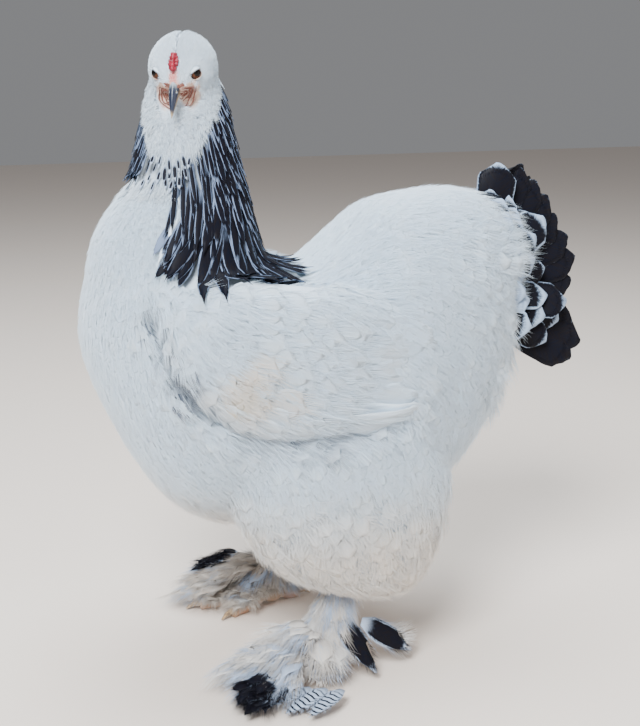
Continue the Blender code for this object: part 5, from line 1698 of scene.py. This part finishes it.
# Face: eyes, lids, beak, comb and wattles
faceGround = Ground(skin.data)
toWorld = Matrix.Translation(shift) @ headMatrix


def buildEye(name, side):
    look = eyeShape
    turn = onSide(look["gaze"], side).normalized().to_track_quat("Z", "Y").to_matrix().to_4x4()
    bm = bmesh.new()
    bmesh.ops.create_uvsphere(bm, u_segments=48, v_segments=40, radius=look["radius"])
    marks = []
    for vert in bm.verts:
        angle = math.acos(max(-1, min(1, vert.co.z / look["radius"]))) / math.pi
        spin = math.atan2(vert.co.y, vert.co.x) / (2 * math.pi) + 0.5
        marks.append((angle, abs(spin * 2 - 1), 0, 1))
        if angle < look["cornea"]:
            vert.co.z += look["corneaRise"] * (1 - (angle / look["cornea"]) ** 2)
    bmesh.ops.transform(bm, matrix=Matrix.Translation(eyePlaces[side]) @ turn, verts=bm.verts[:])
    piece = meshPiece(f"{name}_ball", bm, materials["eye"])
    markMesh(piece.data, marks)
    piece.data.transform(headMatrix)
    return settle(piece)


def buildLids(name, side):
    # an upper and a lower cap over the eye, cut along the slanted edges of its opening
    place, bm = eyePlaces[side], bmesh.new()
    for way, height in (lidLook["upper"], lidLook["lower"]):
        normal = onSide(way, side)
        made = bmesh.ops.create_uvsphere(bm, u_segments=40, v_segments=28, radius=lidLook["radius"])["verts"]
        bmesh.ops.translate(bm, vec=place, verts=made)
        edges = list({edge for vert in made for edge in vert.link_edges})
        faces = list({face for vert in made for face in vert.link_faces})
        cut = bmesh.ops.bisect_plane(
            bm, geom=made + edges + faces, plane_co=place + normal * height, plane_no=normal,
            clear_inner=True)
        rim = [part for part in cut["geom_cut"] if isinstance(part, bmesh.types.BMEdge)]
        bmesh.ops.edgeloop_fill(bm, edges=rim)
    bmesh.ops.recalc_face_normals(bm, faces=bm.faces[:])
    piece = melt(meshPiece(f"{name}_lids", bm), 0.0004, 2)
    reskin(piece, materials["skin"])
    marks = []
    for vert in piece.data.vertices:
        rim = 1 - ease((slantGap(vert.co, place) - lidLook["rim"]) / 0.0006)
        upper = (vert.co - place).dot(onSide(lidLook["upper"][0], side)) > 0
        # painted shade under the brow: the upper lid's rim is dark, the lower lid's rim is bare flesh
        marks.append((0, 0.85 * rim if upper else 0.3 * rim, 0.0 if upper else rim, 1))
    markMesh(piece.data, marks)
    piece.data.transform(headMatrix)
    return settle(piece)


beakLook = {
    "root": 0.0300, "tip": 0.0570, "half": 0.0056, "height": 0.0096, "hook": 0.0150, "lift": -0.0012,
    "nostril": Vector((0.0405, 0.0041, 0.0014)), "pit": (0.0016, 0.0012, 0.0007),
    "lowerShare": 0.86, "lowerHeight": 0.0052, "lowerDrop": 0.0022,
}


def buildBeakHalf(name, up):
    look, rings, marks, count, around = beakLook, [], [], 26, 28
    length = 1.0 if up > 0 else look["lowerShare"]
    for i in range(count):
        t = i / (count - 1)
        forward = mix(look["root"], look["tip"], t * length)
        droop = look["lift"] - look["hook"] * (t * length) ** 1.7
        taper = max(0.05, (1 - t ** 1.5) ** 0.8)
        ring = []
        for k in range(around):
            turn = 2 * math.pi * k / around
            y = math.cos(turn) * look["half"] * taper
            z = math.sin(turn)
            if up > 0:
                ridge = 1 + 0.10 * max(0.0, math.sin(turn)) ** 6
                z = z * look["height"] * taper * ridge if z > 0 else z * 0.0012 * taper
            else:
                z = z * look["lowerHeight"] * taper if z < 0 else z * 0.0004 * taper
                y *= look["lowerShare"]
            ring.append(Vector((forward, y, z + droop - (look["lowerDrop"] if up < 0 else 0))))
            high = max(0.0, math.sin(turn) * up)
            dark = ease((high - 0.05) / 0.30) * (1 - ease((t - 0.84) / 0.14)) if up > 0 else 0.35 * high
            # a painted highlight on top near the root
            rootHighlight = (1 - ease((t - 0.16) / 0.22)) * ease((math.sin(turn) - 0.5) / 0.4) if up > 0 else 0.0
            marks.append((dark, rootHighlight * 0.8, 0, 1))
        rings.append(ring)
    bm = bmesh.new()
    addLoft(bm, rings)
    bmesh.ops.recalc_face_normals(bm, faces=bm.faces[:])
    piece = meshPiece(name, bm, materials["beak"])
    markMesh(piece.data, marks)
    if up > 0:
        pits = bmesh.new()
        for side in (-1, 1):
            addBall(pits, onSide(look["nostril"], side), look["pit"], 12)
        cutter = meshPiece("nostril_pits", pits)
        step = piece.modifiers.new("nostrils", "BOOLEAN")
        step.operation, step.object, step.solver = "DIFFERENCE", cutter, "EXACT"
        applied(piece)
        bpy.data.objects.remove(cutter)
        piece.data.shade_smooth()
    piece.data.transform(headMatrix)
    return settle(piece)


def onFace(local, height):
    return faceGround.over(toWorld @ local, height)[0]


def finishFlesh(name, bm, material, voxel, passes):
    bmesh.ops.recalc_face_normals(bm, faces=bm.faces[:])
    piece = melt(meshPiece(name, bm), voxel, passes)
    reskin(piece, material)
    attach(piece, "root")
    return piece


combLook = {
    "low": Vector((0.0335, 0.0, 0.0215)), "high": Vector((0.0220, 0.0, 0.0360)),
    "knobs": 5, "knob": 0.0027, "half": 0.0043,
    "radii": [0.0018, 0.0026, 0.0030, 0.0032, 0.0032, 0.0031, 0.0029, 0.0026, 0.0022, 0.0014],
}


def buildComb():
    # three rows of small knobs on one low cushion, the middle row the tallest
    look, bm, chance = combLook, bmesh.new(), random.Random(2)
    line = [onFace(mix(look["low"], look["high"], k / 9), 0.0010) for k in range(10)]
    addTube(bm, line, look["radii"], 14)
    for row in (-1, 0, 1):
        for k in range(look["knobs"]):
            t = (k + (0.6 if row else 0.2)) / look["knobs"]
            wide = math.sin(math.pi * (0.12 + 0.80 * t))
            across = Vector((0, row * look["half"] * wide, 0))
            size = look["knob"] * (0.75 + 0.35 * wide) * (0.85 if row else 1.05) * chance.uniform(0.85, 1.15)
            spot = onFace(mix(look["low"], look["high"], t) + across, 0.0020 if row else 0.0040)
            addBall(bm, spot, (size * 0.80,) * 3, 10)
    return finishFlesh("pea_comb", bm, materials["comb"], 0.0004, 1)


wattleLook = {"loops": 6, "points": 12, "radius": 0.00054, "inner": 0.0034, "step": 0.0022, "warts": 9}


def buildWattle(name, side):
    # thin wrinkled loops nested round the corner of the mouth, and small warts above them
    look, bm, chance = wattleLook, bmesh.new(), random.Random(4 + side)
    count = look["points"]
    for k in range(look["loops"]):
        reach, places = look["inner"] + look["step"] * k, []
        start, end = chance.uniform(55, 88), chance.uniform(-112, -72)
        for j in range(count):
            angle = math.radians(mix(start, end, j / (count - 1)) + chance.uniform(-5, 5))
            across = 0.0046 + reach * 1.30 * max(0.0, math.cos(angle))
            local = Vector((0.0430 - 0.55 * across, side * across, -0.0085 + reach * 0.66 * math.sin(angle)))
            places.append(onFace(local, 0.0009 + 0.0003 * (k % 2)))
        shares = [0.4 + math.sin(math.pi * (j + 0.5) / count) for j in range(count)]
        addTube(bm, places, [look["radius"] * share * chance.uniform(0.6, 1.4) for share in shares], 8)
    for k in range(look["warts"]):
        across = 0.0052 + 0.0007 * k
        spot = Vector((0.0415 - 0.5 * across, side * across, chance.uniform(0.0028, 0.0075)))
        addBall(bm, onFace(spot, 0.0008), (chance.uniform(0.0006, 0.0013),) * 3, 8)
    return finishFlesh(f"{name}_folds", bm, materials["wattle"], 0.00028, 1)


for name, side in (("eye_left", 1), ("eye_right", -1)):
    ball = buildEye(name, side)
    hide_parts(name)
    lids = buildLids(name, side)
for name, up in (("beak_upper", 1), ("beak_lower", -1)):
    half = buildBeakHalf(f"{name}_horn", up)
    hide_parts(name)
comb = buildComb()
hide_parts("comb")
for name, side in (("wattle_left", 1), ("wattle_right", -1)):
    folds = buildWattle(name, side)
    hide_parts(name)
print("face made")

bpy.data.objects.remove(coatForm)


# Floor, light and camera
def buildStage():
    material = newMaterial("pale_floor", {"Roughness": 0.85, "Base Color": (0.82, 0.72, 0.64, 1.0)})[0]
    bm = bmesh.new()
    bmesh.ops.create_grid(bm, x_segments=1, y_segments=1, size=6.0)
    floor = meshPiece("studio_floor", bm, material)


lightTarget = Vector((0.0, 0.0, 0.3))
lights = {  # place, size, power and colour
    "key": ((-1.3, -1.6, 2.1), 1.2, 175, (0.94, 0.975, 1.0)),
    "fill": ((1.8, -1.6, 1.0), 2.0, 20, (1.0, 0.92, 0.85)),
    "top": ((0.2, 0.5, 2.4), 1.8, 76, (0.86, 0.94, 1.0)),
}
sky = {"Color": (0.86, 0.87, 0.90, 1.0), "Strength": 0.27}


def lightStudio():
    for name, (place, size, power, colour) in lights.items():
        light = bpy.data.lights.new(name, "AREA")
        light.shape, light.size, light.energy, light.color = "DISK", size, power, colour
        made = bpy.data.objects.new(name, light)
        made.location = place
        made.rotation_euler = (lightTarget - Vector(place)).to_track_quat("-Z", "Y").to_euler()
        bpy.context.scene.collection.objects.link(made)
    world = bpy.data.worlds.new("studio")
    world.use_nodes = True
    back = world.node_tree.nodes["Background"]
    for key, value in sky.items():
        back.inputs[key].default_value = value
    bpy.context.scene.world = world


cameraLook = {"azimuth": -20.4, "distance": 1.254, "height": 0.615, "down": 13.9, "focal": 1252.5,
              "rightPixels": -23.0, "downPixels": -1.1, "highPixels": 726, "sensor": 36.0}


def placeCamera():
    # the focal length and the shifts are in pixels of a picture 726 high
    look = cameraLook
    azimuth, down = math.radians(look["azimuth"]), math.radians(look["down"])
    inward = Vector((-math.sin(azimuth), math.cos(azimuth), 0))
    place = skyward * look["height"] - inward * look["distance"]
    camera = bpy.data.cameras.new("camera")
    camera.sensor_width = look["sensor"]
    camera.lens = look["focal"] * look["sensor"] / look["highPixels"]
    camera.shift_x = -look["rightPixels"] / look["highPixels"]
    camera.shift_y = look["downPixels"] / look["highPixels"]
    camera.dof.use_dof = False
    made = bpy.data.objects.new("camera", camera)
    made.location = place + shift
    forward = inward * math.cos(down) - skyward * math.sin(down)
    made.rotation_euler = forward.to_track_quat("-Z", "Y").to_euler()
    bpy.context.scene.collection.objects.link(made)
    bpy.context.scene.camera = made


buildStage()
lightStudio()
placeCamera()
